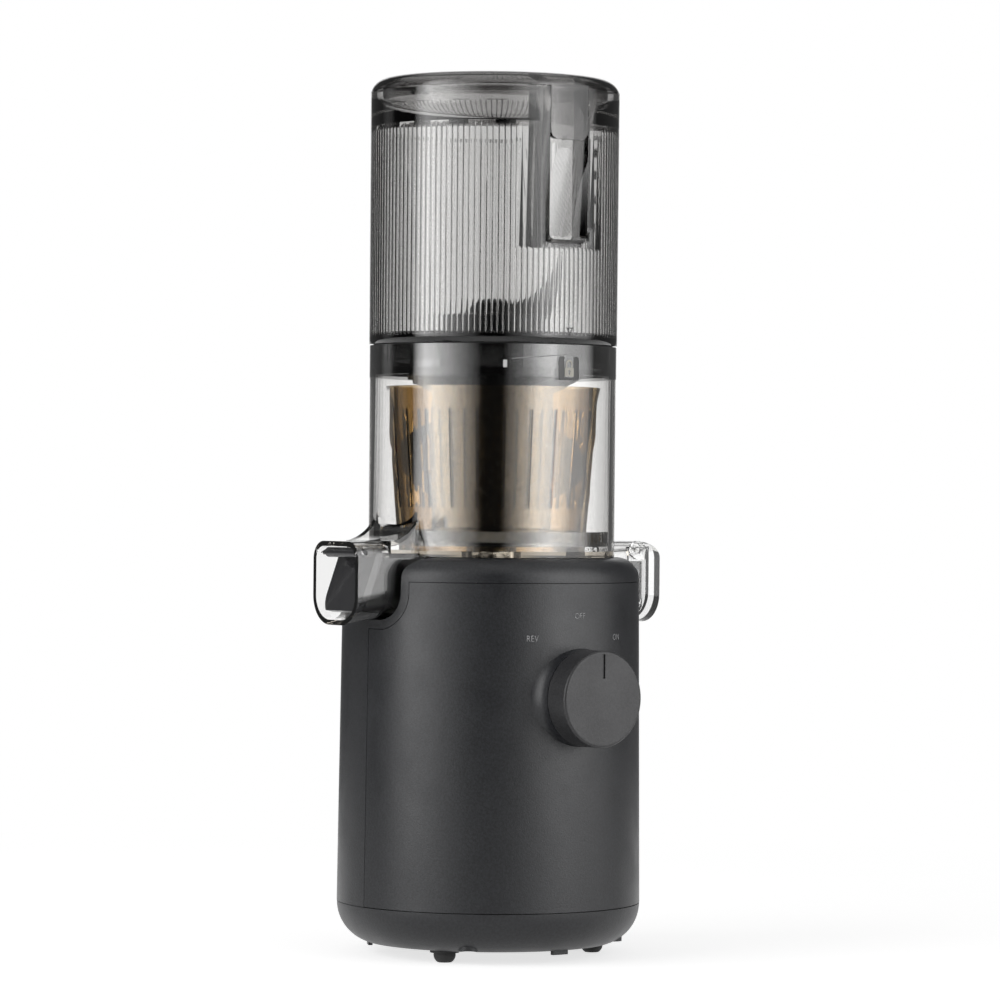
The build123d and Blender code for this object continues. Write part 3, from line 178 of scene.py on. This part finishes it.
HOUSING = grained_plastic("housing_charcoal", (0.0125, 0.0132, 0.0152), 0.36, gloss=0.46)
COVER = grained_plastic("cover_charcoal", (0.0125, 0.013, 0.015), 0.4, gloss=0.46)
KNOB = grained_plastic("knob_charcoal", (0.022, 0.022, 0.0235), 0.42, 1500.0, 0.00007)
CLEAR = clear_plastic("clear_body", (0.80, 0.775, 0.73), 45.0)
CLEAR_CAP = clear_plastic("clear_cap", (0.85, 0.85, 0.84), 60.0)
SMOKE_TINT = (0.50, 0.492, 0.478)
SMOKE = clear_plastic("smoke_hopper", SMOKE_TINT, 145.0)
# Painted shade: a dark skin on the flutes' steep sides and the finger channel's sides stands in
# for the dark lines that the refracted dark room gives them.
SMOKE_RIB_PAINTED_SHADE = clear_plastic("smoke_rib_painted_shade", SMOKE_TINT, 145.0, 0.03, skin=0.35)
SMOKE_SKIRT = clear_plastic("smoke_skirt", (0.42, 0.41, 0.40), 2800.0)
SMOKE_LID = clear_plastic("smoke_lid", (0.46, 0.45, 0.445), 600.0)
CLEAR_RING = clear_plastic("clear_ring", (0.75, 0.75, 0.73), 60.0, 0.03)
SMOKE_COLLAR = clear_plastic("smoke_collar", (0.5, 0.495, 0.49), 330.0, coat=1.0)
AMBER = clear_plastic("amber_strainer", (0.72, 0.52, 0.12), 380.0, 0.006, 1.6)
DARK = moulded("auger_dark", (0.012, 0.012, 0.013), 0.22, Specular_IOR_Level=0.2)
SILICONE = moulded("silicone_black", (0.02, 0.02, 0.021), 0.5)
CAP_DARK = moulded("flap_dark", (0.02, 0.02, 0.022), 0.2)
RUBBER = moulded("foot_rubber", (0.03, 0.03, 0.03), 0.7, 1500.0)
BLACK = moulded("switch_black", (0.02, 0.02, 0.02), 0.4)
STEEL = metal("ground_steel", (0.56, 0.56, 0.57), 0.28)
GEAR_STEEL = metal("gear_steel", (0.42, 0.42, 0.43), 0.4)
ALLOY = metal("cast_alloy", (0.72, 0.72, 0.73), 0.45)
BRONZE = metal("bush_bronze", (0.65, 0.42, 0.18), 0.38)
COPPER = metal("coil_copper", (0.75, 0.32, 0.14), 0.3, (60.0, 60.0, 900.0))
ACETAL = moulded("gear_acetal", (0.78, 0.76, 0.7), 0.4)
BOARD = moulded("board_green", (0.02, 0.16, 0.06), 0.35)
INK = moulded("ink_grey", (0.56, 0.56, 0.57), 0.5)
MARK_PALE = moulded("mark_pale", (0.62, 0.60, 0.54), 0.5)
MARK_WHITE = moulded("mark_white", (0.86, 0.86, 0.85), 0.4)
MARK_GREY = moulded("mark_grey", (0.30, 0.30, 0.30), 0.4)
MARK_DARK = moulded("mark_dark", (0.022, 0.022, 0.022), 0.35)

# The material of each CAD node. The copies that replace the hopper and the bowl get theirs below.
FINISH = {
    "rear_housing": HOUSING, "front_panel": HOUSING, "bottom_cover": COVER,
    "rubber_feet": RUBBER, "cover_screws": STEEL, "cord_gland": RUBBER, "shaft_seal": SILICONE,
    "control_knob": KNOB, "switch_shaft": STEEL, "rotary_switch": BLACK, "switch_nut": STEEL,
    "motor_can": STEEL, "motor_end_plate": ALLOY, "motor_bearings": STEEL,
    "motor_screws": STEEL, "stator_core": GEAR_STEEL, "stator_windings": COPPER,
    "rotor_core": GEAR_STEEL, "motor_shaft": STEEL, "motor_pinion": GEAR_STEEL,
    "cooling_fan": BLACK, "gearbox_housing": ACETAL, "gearbox_lid": ALLOY,
    "gearbox_screws": STEEL, "output_bushing": BRONZE, "first_carrier": ACETAL,
    "second_sun": GEAR_STEEL, "output_carrier": GEAR_STEEL, "drive_shaft": STEEL,
    "control_board": BOARD, "board_screws": STEEL, "board_relay": BLACK,
    "board_capacitor": ACETAL, "safety_switch": BLACK, "chamber_bowl": CLEAR,
    "chamber_seal": SILICONE,
    "outer_strainer": AMBER, "inner_strainer": AMBER, "strainer_ring": CLEAR_RING,
    "auger_screw": DARK, "auger_sleeve": STEEL, "cutting_wing": DARK, "juice_cap": CAP_DARK,
    "juice_plug": SILICONE, "pulp_cap": CLEAR_CAP, "pulp_plug": SILICONE, "hopper": SMOKE,
    "lid_hinge_pin": STEEL, "collar_seal": SILICONE, "lid": SMOKE_LID,
}
for number in (1, 2, 3):
    FINISH[f"first_planet_{number}"] = ACETAL
    FINISH[f"second_planet_{number}"] = GEAR_STEEL
for name, material in FINISH.items():
    for part_slot in NODES[name].material_slots:
        part_slot.material = material


# ---------------------------------------------------------------- pieces made here
def placed(name, data):
    """A new object in the scene."""
    obj = bpy.data.objects.new(name, data)
    bpy.context.scene.collection.objects.link(obj)
    return obj


def cut_out(obj, cutter):
    """Cuts one piece out of another, and removes the cutter."""
    change = obj.modifiers.new("cut", "BOOLEAN")
    change.operation = "DIFFERENCE"
    change.solver = "EXACT"
    change.object = cutter
    graph = bpy.context.evaluated_depsgraph_get()
    made = bpy.data.meshes.new_from_object(obj.evaluated_get(graph))
    obj.modifiers.clear()
    old = obj.data
    obj.data = made
    bpy.data.meshes.remove(old)
    bpy.data.objects.remove(cutter)


def split_at(obj, height):
    """Cuts the faces of a piece along a level, so that a finish can end there."""
    bm = bmesh.new()
    bm.from_mesh(obj.data)
    bmesh.ops.bisect_plane(bm, geom=list(bm.verts) + list(bm.edges) + list(bm.faces),
                           dist=1e-6, plane_co=(0, 0, height), plane_no=(0, 0, 1))
    bm.to_mesh(obj.data)
    bm.free()


SHARP = 24.0                # degrees; an edge that turns more than this stays sharp


def finished(obj, materials, choose):
    """Gives each face of a piece one of the materials, by its number, and smooths the piece."""
    obj.data.materials.clear()
    for material in materials:
        obj.data.materials.append(material)
    for face in obj.data.polygons:
        face.material_index = choose(face)
    obj.data.shade_smooth()
    obj.data.set_sharp_from_angle(angle=math.radians(SHARP))


# The flutes in the hopper's bore. Round the finger channel they stop below it.
FLUTES = 130
FLUTE_DEPTH = 0.5 * MM
FLUTE_STEPS = 8             # facets across a flute
FLUTE_ROWS = 5              # plain rows between a flute's round ends
FLUTE_LOW = 0.3195
FLUTE_HIGH = 0.4262
# How far from its end, in mm, a flute has narrowed by how much.
FLUTE_ENDS = [(0.0, 1.0), (0.25, 0.62), (0.6, 0.36), (1.1, 0.14), (1.7, 0.03), (2.3, 0.0)]
BORE = 60.6 * MM
CUTTER_BORE = 0.0585
CHANNEL_LOW = 0.3643        # where the flutes under the channel end
CHANNEL_FROM = -114.0       # the channel lies between these bearings
CHANNEL_TO = -68.0
CHANNEL_SIDES = 0.3647      # its sides start here
SIDEWAYS = 0.4              # and their normals point outward by less than this
RIB_LOW = 0.3196            # steep faces count as ribs between these heights
RIB_HIGH = 0.43
SKIRT_TOP = 0.3192          # the hopper's skirt is dark up to here
COLLAR_LOW = 0.298          # the chamber is smoky from here up


def flute_radius(end):
    """The fluted bore at one height, where end is how far a round end has narrowed it."""
    def radius(angle):
        turn = angle * FLUTES / (2 * math.pi)
        across = 2 * (turn - math.floor(turn)) - 1
        return BORE + FLUTE_DEPTH * (1 - abs(across) ** 6) - end
    return radius


def flute_cutter(name, low, high, first, last):
    """Part of a ring, from one bearing to another, whose outer side has the flutes' shape."""
    narrow = FLUTE_DEPTH * 1.25
    spans = FLUTE_ROWS + 1
    outer = [(low + z * MM, part * narrow) for z, part in FLUTE_ENDS]
    outer += [(low + (high - low) * k / spans, 0.0) for k in range(1, spans)]
    outer += [(high - z * MM, part * narrow) for z, part in reversed(FLUTE_ENDS)]
    steps = int(round((last - first) / 360 * FLUTES)) * FLUTE_STEPS
    angles = [math.radians(first + (last - first) * k / steps) for k in range(steps + 1)]
    rows = [(lambda a: CUTTER_BORE, outer[0][0])]
    rows += [(flute_radius(end), z) for z, end in outer]
    rows += [(lambda a: CUTTER_BORE, outer[-1][0])]
    verts = [(r(a) * math.cos(a), r(a) * math.sin(a), z) for r, z in rows for a in angles]
    count = len(angles)
    starts = [i * count for i in range(len(rows))]
    faces = []
    for row, after in list(zip(starts, starts[1:])) + [(starts[-1], starts[0])]:
        for j in range(count - 1):
            faces.append((row + j, row + j + 1, after + j + 1, after + j))
    faces.append(starts)
    faces.append([start + count - 1 for start in reversed(starts)])
    mesh = bpy.data.meshes.new(name)
    mesh.from_pydata(verts, [], faces)
    bm = bmesh.new()
    bm.from_mesh(mesh)
    bmesh.ops.recalc_face_normals(bm, faces=bm.faces)
    bm.to_mesh(mesh)
    bm.free()
    return placed(name, mesh)


def gets_painted_shade(face):
    """Whether a face of the hopper is a flute's steep side or a side of the finger channel, the
    faces that get painted shade.
    """
    x, y, z = face.center
    angle = math.atan2(y, x)
    radius = math.hypot(x, y)
    if z < RIB_LOW or z > RIB_HIGH:
        return False
    if z > CHANNEL_SIDES and CHANNEL_FROM < math.degrees(angle) < CHANNEL_TO:
        outward = (face.normal.x * x + face.normal.y * y) / radius
        return abs(outward) < SIDEWAYS
    turn = angle * FLUTES / (2 * math.pi)
    place = turn - math.floor(turn)
    steep = place < 1 / FLUTE_STEPS or place > 1 - 1 / FLUTE_STEPS
    return steep and BORE - 0.05 * MM < radius < BORE + 1.1 * FLUTE_DEPTH


def fluted_hopper():
    """The hopper with fine upright flutes in its bore, a dark skirt, and painted shade on the
    flutes' steep sides and on the finger channel's sides.
    """
    obj = placed("hopper_fluted", NODES["hopper"].data.copy())
    step = 360.0 / FLUTES
    first = math.ceil(CHANNEL_TO / step) * step
    last = math.floor((360 + CHANNEL_FROM) / step) * step
    cut_out(obj, flute_cutter("flutes_tall", FLUTE_LOW, FLUTE_HIGH, first, last))
    cut_out(obj, flute_cutter("flutes_low", FLUTE_LOW, CHANNEL_LOW, last, first + 360.0))
    split_at(obj, SKIRT_TOP)
    # The third material paints shade on the steep sides of the flutes and of the finger channel.
    finished(obj, [SMOKE, SMOKE_SKIRT, SMOKE_RIB_PAINTED_SHADE],
             lambda face: 1 if face.center.z < SKIRT_TOP else 2 if gets_painted_shade(face) else 0)
    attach(obj, "hopper")
    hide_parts("hopper")


def smoked_collar():
    """The chamber with the grey tint that its collar has."""
    obj = placed("chamber_clear", NODES["chamber_bowl"].data.copy())
    split_at(obj, COLLAR_LOW)
    finished(obj, [CLEAR, SMOKE_COLLAR], lambda face: 1 if face.center.z > COLLAR_LOW else 0)
    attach(obj, "chamber")
    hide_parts("chamber_bowl")


fluted_hopper()
smoked_collar()


# ---------------------------------------------------------------- words and marks
# The walls that carry marks, in mm. The drum widens on its way down, the hopper on its way up.
DRUM_TOP, DRUM_HEIGHT, DRUM_RADIUS, DRUM_DRAFT = 193.5, 166.3, 77.0, 1.7
HOPPER_FOOT, HOPPER_HEIGHT, HOPPER_RADIUS, HOPPER_DRAFT = 315.4, 130.2, 64.5, 0.2
COLLAR_RADIUS = 64.3


def wall_radius(height):
    """The drum wall's outer radius at a height."""
    return (DRUM_RADIUS + DRUM_DRAFT * (DRUM_TOP - height / MM) / DRUM_HEIGHT) * MM


def hopper_radius(height):
    """The hopper's outer radius at a height."""
    return (HOPPER_RADIUS + HOPPER_DRAFT * (height / MM - HOPPER_FOOT) / HOPPER_HEIGHT) * MM


def collar_radius(height):
    """The outer radius of the chamber's collar, the same at each height."""
    return COLLAR_RADIUS * MM


def on_wall(name, mesh, angle, height, radius_at, lift, material, body):
    """A flat mesh in (x, y) wrapped on an upright round wall, lifted a little off it."""
    for v in mesh.vertices:
        x, y, z = v.co
        level = height + y
        radius = radius_at(level) + lift + z
        turn = angle + x / radius
        v.co = (radius * math.cos(turn), radius * math.sin(turn), level)
    obj = placed(name, mesh)
    mesh.materials.clear()
    mesh.materials.append(material)
    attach(obj, body)


def thickened(bm, thick):
    """Gives flat faces their thickness."""
    made = bmesh.ops.extrude_face_region(bm, geom=list(bm.faces))
    bmesh.ops.translate(bm, vec=(0, 0, thick),
                        verts=[g for g in made["geom"] if isinstance(g, bmesh.types.BMVert)])
    bmesh.ops.recalc_face_normals(bm, faces=bm.faces)


LETTER_WIDTH = 0.82         # as a share of the font's own width
LETTER_THICK = 0.00005


def lettering(text, cap_height):
    """Printed letters as a thin mesh, centred on their own middle."""
    curve = bpy.data.curves.new(text, "FONT")
    curve.body = text
    curve.size = 1.0
    curve.extrude = 0.0
    curve.resolution_u = 6
    curve.offset = -0.012
    curve.space_character = 1.06
    holder = placed(text, curve)
    graph = bpy.context.evaluated_depsgraph_get()
    mesh = bpy.data.meshes.new_from_object(holder.evaluated_get(graph))
    bpy.data.objects.remove(holder)
    points = np.array([v.co for v in mesh.vertices])
    low, high = points.min(axis=0), points.max(axis=0)
    scale = cap_height / (high[1] - low[1])
    middle = (low + high) / 2
    for v in mesh.vertices:
        x, y = v.co.x - middle[0], v.co.y - middle[1]
        v.co = (x * scale * LETTER_WIDTH, y * scale, 0.0)
    bm = bmesh.new()
    bm.from_mesh(mesh)
    bmesh.ops.remove_doubles(bm, verts=bm.verts, dist=1e-7)
    thickened(bm, LETTER_THICK)
    bm.to_mesh(mesh)
    bm.free()
    return mesh


KNOB_HEIGHT = 0.1356
LABEL_CIRCLE = 0.0402       # the radius of the circle that the words stand on
LABEL_SIDE = -0.0007        # its middle is this far to the right of the knob's axis
LABEL_HEIGHT = 3.0 * MM
FRONT = -math.pi / 2        # the bearing of the drum's front
PRINT_LIFT = 0.00002
for word, turn, lift in (("OFF", 0.0, 0.0013), ("REV", 42.0, 0.0003), ("ON", -42.0, 0.0006)):
    across = LABEL_SIDE - LABEL_CIRCLE * math.sin(math.radians(turn))
    level = KNOB_HEIGHT + LABEL_CIRCLE * math.cos(math.radians(turn)) + lift
    on_wall("label_" + word.lower(), lettering(word, LABEL_HEIGHT),
            FRONT + across / wall_radius(level), level, wall_radius, PRINT_LIFT, INK,
            "base")


MARK_THICK = 0.00006


def flat_shape(name, outlines):
    """A thin plate from outlines in mm. The first is its edge and the others are holes in it."""
    bm = bmesh.new()
    edges = []
    for points in outlines:
        ring = [bm.verts.new((x * MM, y * MM, 0.0)) for x, y in points]
        edges += [bm.edges.new(pair) for pair in zip(ring, ring[1:] + ring[:1])]
    bmesh.ops.triangle_fill(bm, use_beauty=True, use_dissolve=False, edges=edges,
                            normal=(0, 0, 1))
    thickened(bm, MARK_THICK)
    mesh = bpy.data.meshes.new(name)
    bm.to_mesh(mesh)
    bm.free()
    return mesh


def rounded(low, high, corner, steps=6):
    """A rounded rectangle between two corners."""
    left, right = low[0] + corner, high[0] - corner
    foot, head = low[1] + corner, high[1] - corner
    points = []
    for cx, cy, start in ((right, foot, -90), (right, head, 0), (left, head, 90),
                          (left, foot, 180)):
        for k in range(steps + 1):
            turn = math.radians(start + 90 * k / steps)
            points.append((cx + corner * math.cos(turn), cy + corner * math.sin(turn)))
    return points


def arch(radius, foot, rise, steps=14):
    """An upright arch from one foot over to the other."""
    points = [(radius, foot)]
    for k in range(steps + 1):
        turn = math.pi * k / steps
        points.append((radius * math.cos(turn), rise + radius * math.sin(turn)))
    return points + [(-radius, foot)]


def collar_mark(name, outlines, angle, height, lift, material):
    """A flat mark on the chamber's collar."""
    on_wall(name, flat_shape(name, outlines), angle, height, collar_radius, lift, material,
            "chamber")


LOCK_TURN, LOCK_HEIGHT = FRONT + 0.01, 0.3030
LOCK_LIFT = 0.0001          # the padlock lies on its plate
ARROW_HEIGHT = 0.3215
BLOCK_TURN, BLOCK_HEIGHT = math.radians(-121.0), 0.3045
RAMP_TURN, RAMP_HEIGHT = math.radians(-104.6), 0.3082
RAMP_LONG, RAMP_RISE, RAMP_WIDE = 29.8, 2.4, 0.45       # mm
RAMP_STEPS = 24
keyhole = [(0.75 * math.cos(k * math.pi / 6), -2.0 + 0.75 * math.sin(k * math.pi / 6))
           for k in range(-2, 9)]
keyhole += [(-0.35, -3.6), (0.35, -3.6)]
collar_mark("lock_plate", [rounded((-6.6, -6.2), (6.6, 5.6), 2.0)], LOCK_TURN, LOCK_HEIGHT,
            PRINT_LIFT, MARK_DARK)
collar_mark("lock_body", [rounded((-2.9, -4.6), (2.9, 0.0), 0.7), keyhole], LOCK_TURN,
            LOCK_HEIGHT, LOCK_LIFT, MARK_PALE)
collar_mark("lock_shackle", [arch(2.1, 0.05, 1.9) + list(reversed(arch(1.25, 0.05, 1.9)))],
            LOCK_TURN, LOCK_HEIGHT, LOCK_LIFT, MARK_PALE)
arrow = flat_shape("arrow", [[(-2.3, 1.9), (0.0, -2.1), (2.3, 1.9)],
                             [(-1.2, 1.3), (1.2, 1.3), (0.0, -0.8)]])
on_wall("hopper_arrow", arrow, LOCK_TURN, ARROW_HEIGHT, hopper_radius, PRINT_LIFT, MARK_DARK,
        "hopper")
collar_mark("collar_block", [rounded((-1.0, -1.9), (1.0, 1.9), 0.3)], BLOCK_TURN, BLOCK_HEIGHT,
            PRINT_LIFT, MARK_WHITE)
low_side = [(-RAMP_LONG / 2 + RAMP_LONG * k / RAMP_STEPS, -1.3 + RAMP_RISE * k / RAMP_STEPS)
            for k in range(RAMP_STEPS + 1)]
high_side = [(x, y + RAMP_WIDE) for x, y in reversed(low_side)]
collar_mark("collar_ramp", [low_side + high_side], RAMP_TURN, RAMP_HEIGHT, PRINT_LIFT,
            MARK_GREY)


# ---------------------------------------------------------------- camera
AZIMUTH = -36.5         # degrees from the front; below 0 is to the left
DISTANCE = 2.320        # from the drum's axis
FOCAL = 4.461           # focal length in image widths
EYE = 0.243             # the camera's height
HORIZON = 485.0         # the image row of the horizon, of 1000
AXIS_COLUMN = 491.7     # the image column of the drum axis at the middle row
ROLL = 0.537            # degrees
PIXEL = DISTANCE / (FOCAL * 1000)       # a pixel's width at the axis

angle = math.radians(AZIMUTH)
toward = Vector((math.sin(angle), -math.cos(angle), 0.0))
right = Vector((math.cos(angle), math.sin(angle), 0.0))
place = toward * DISTANCE + Vector((0, 0, EYE))
aim = right * (500 - AXIS_COLUMN) * PIXEL + Vector((0, 0, EYE - (500 - HORIZON) * PIXEL))
forward = (aim - place).normalized()
side = forward.cross(Vector((0, 0, 1))).normalized()
up = side.cross(forward)
lean = math.radians(ROLL)
side, up = (side * math.cos(lean) + up * math.sin(lean),
            up * math.cos(lean) - side * math.sin(lean))
pose = Matrix((side, up, -forward)).transposed().to_4x4()
pose.translation = place
eye = bpy.data.cameras.new("camera")
eye.sensor_width = 36.0
eye.lens = 36.0 * FOCAL
eye.clip_end = 60.0
camera = placed("camera", eye)
camera.matrix_world = pose
bpy.context.scene.camera = camera


# ---------------------------------------------------------------- light and room
LAMP_DISTANCE = 1.10
LAMP_HEIGHT = 0.42
LAMP_WIDTH = 1.1
LAMP_TALL = 1.3


def softbox(name, bearing, radiance):
    """A soft upright panel that faces the axis. bearing is from the camera, to its right."""
    direction = math.radians(AZIMUTH - 90 + bearing)
    lamp = bpy.data.lights.new(name, "AREA")
    lamp.shape = "RECTANGLE"
    lamp.size = LAMP_WIDTH
    lamp.size_y = LAMP_TALL
    lamp.energy = radiance * math.pi * LAMP_WIDTH * LAMP_TALL
    obj = placed(name, lamp)
    obj.location = (LAMP_DISTANCE * math.cos(direction), LAMP_DISTANCE * math.sin(direction),
                    LAMP_HEIGHT)
    look = Vector((0, 0, LAMP_HEIGHT)) - obj.location
    obj.rotation_euler = look.to_track_quat("-Z", "Y").to_euler()
    obj.visible_glossy = False
    obj.visible_transmission = False


softbox("left_box", -58.0, 1.8)
softbox("right_box", 60.0, 0.7)

# What a mirrored ray sees of the room, by bearing from the camera, to its right: a soft panel on
# each side, dark between them and behind them, and white at the back. Over it is the ceiling.
ROOM = [(-180, 1.0), (-172, 1.0), (-163, 0.08), (-128, 0.1), (-119, 0.35), (-112, 0.35),
        (-106, 0.04), (-80, 0.04), (-75, 2.4), (-66, 5.0), (-57, 4.2), (-45, 2.9), (-33, 1.6),
        (-22, 0.7), (-11, 0.02), (10, 0.02), (22, 0.7), (34, 1.6), (45, 3.4), (57, 4.6),
        (72, 3.0), (96, 1.9), (108, 0.15), (163, 0.08), (172, 1.0), (180, 1.0)]
PANEL = 5.0             # the brightest level in that list
CEILING = 0.9
CEILING_FROM = 0.55     # the room turns into the ceiling between these heights of a direction
CEILING_TO = 0.85
WHITE = 1.0             # what the camera sees, also through clear plastic
AMBIENT = 0.25          # what a ray sees that has left a matt face
world = bpy.data.worlds.new("room")
bpy.context.scene.world = world
world.use_nodes = True
tree = world.node_tree
for old in list(tree.nodes):
    tree.nodes.remove(old)
path = tree.nodes.new("ShaderNodeLightPath")
coords = tree.nodes.new("ShaderNodeTexCoord")


def feed(socket, value):
    """Gives a socket another's output, or a number."""
    if isinstance(value, bpy.types.NodeSocket):
        tree.links.new(value, socket)
    else:
        socket.default_value = value


def arithmetic(operation, first, second):
    """One step of arithmetic."""
    made = tree.nodes.new("ShaderNodeMath")
    made.operation = operation
    feed(made.inputs[0], first)
    feed(made.inputs[1], second)
    return made.outputs["Value"]


def along(axis):
    """How far a direction goes along an axis."""
    made = tree.nodes.new("ShaderNodeVectorMath")
    made.operation = "DOT_PRODUCT"
    tree.links.new(coords.outputs["Generated"], made.inputs[0])
    made.inputs[1].default_value = tuple(axis)
    return made.outputs["Value"]


def between(value, low, high, curve="LINEAR"):
    """0 at low and 1 at high."""
    made = tree.nodes.new("ShaderNodeMapRange")
    made.interpolation_type = curve
    made.inputs["From Min"].default_value = low
    made.inputs["From Max"].default_value = high
    feed(made.inputs["Value"], value)
    return made.outputs["Result"]


def mixed(factor, first, second):
    """The first value where factor is 0, and the second where it is 1."""
    made = tree.nodes.new("ShaderNodeMix")
    made.data_type = "FLOAT"
    feed(made.inputs["Factor"], factor)
    feed(made.inputs["A"], first)
    feed(made.inputs["B"], second)
    return made.outputs["Result"]


room = tree.nodes.new("ShaderNodeValToRGB")
stops = room.color_ramp.elements
while len(stops) < len(ROOM):
    stops.new(0.5)
for stop, (degrees, level) in zip(stops, ROOM):
    stop.position = (degrees + 180) / 360
for stop, (degrees, level) in zip(stops, ROOM):     # the stops have their final order only now
    stop.color = (level / PANEL, level / PANEL, level / PANEL, 1.0)
bearing = arithmetic("ARCTAN2", along(right), along(toward))
feed(room.inputs["Fac"], between(bearing, -math.pi, math.pi))
panels = arithmetic("MULTIPLY", room.outputs["Color"], PANEL)
upward = between(along((0, 0, 1)), CEILING_FROM, CEILING_TO, "SMOOTHSTEP")
mirrored = arithmetic("MINIMUM", path.outputs["Glossy Depth"], 1.0)
scattered = arithmetic("MINIMUM", path.outputs["Diffuse Depth"], 1.0)
seen = mixed(mirrored, WHITE, mixed(upward, panels, CEILING))
sky = tree.nodes.new("ShaderNodeBackground")
sky.inputs["Color"].default_value = (1.0, 1.0, 1.0, 1.0)
feed(sky.inputs["Strength"], mixed(scattered, seen, AMBIENT))
sky_out = tree.nodes.new("ShaderNodeOutputWorld")
feed(sky_out.inputs["Surface"], sky.outputs["Background"])

FLOOR_RADIUS = 1.0
FADE_FROM = 0.25            # the floor turns into the white room between these distances
FADE_TO = 0.8


def floor():
    """A pale floor that takes the shadow near the object and fades into the white room."""
    mesh = bpy.data.meshes.new("floor")
    bm = bmesh.new()
    bmesh.ops.create_circle(bm, cap_ends=True, segments=128, radius=FLOOR_RADIUS)
    bm.to_mesh(mesh)
    bm.free()
    obj = placed("floor", mesh)
    s = Shader("floor_pale", (0.82, 0.82, 0.82), 0.9, Specular_IOR_Level=0.0)
    s.colours(s.noise(9.0, 3.0), (0.81, 0.81, 0.81), (0.83, 0.83, 0.83))
    rays = s.node("LightPath")
    most = s.node("Math", operation="MAXIMUM")
    s.link(rays.outputs["Is Camera Ray"], most.inputs[0])
    s.link(rays.outputs["Is Transmission Ray"], most.inputs[1])
    more = s.node("Math", operation="MAXIMUM")
    s.link(most.outputs["Value"], more.inputs[0])
    s.link(rays.outputs["Is Glossy Ray"], more.inputs[1])
    length = s.node("VectorMath", operation="LENGTH")
    s.link(s.coords, length.inputs[0])
    away = s.ramp(length.outputs["Value"], 0.0, 1.0, FADE_FROM, FADE_TO)
    glow = s.node("Emission", Strength=1.0)
    near = s.node("Emission", Strength=0.7)
    lit = s.node("AddShader")
    s.link(s.bsdf.outputs["BSDF"], lit.inputs[0])
    s.link(near.outputs["Emission"], lit.inputs[1])
    fade = s.node("MixShader")
    s.link(away, fade.inputs["Fac"])
    s.link(lit.outputs["Shader"], fade.inputs[1])
    s.link(glow.outputs["Emission"], fade.inputs[2])
    pick = s.node("MixShader")
    s.link(more.outputs["Value"], pick.inputs["Fac"])
    s.link(s.bsdf.outputs["BSDF"], pick.inputs[1])
    s.link(fade.outputs["Shader"], pick.inputs[2])
    s.link(pick.outputs["Shader"], s.out.inputs["Surface"])
    obj.data.materials.append(s.mat)


floor()

bpy.context.scene.view_settings.view_transform = "Standard"
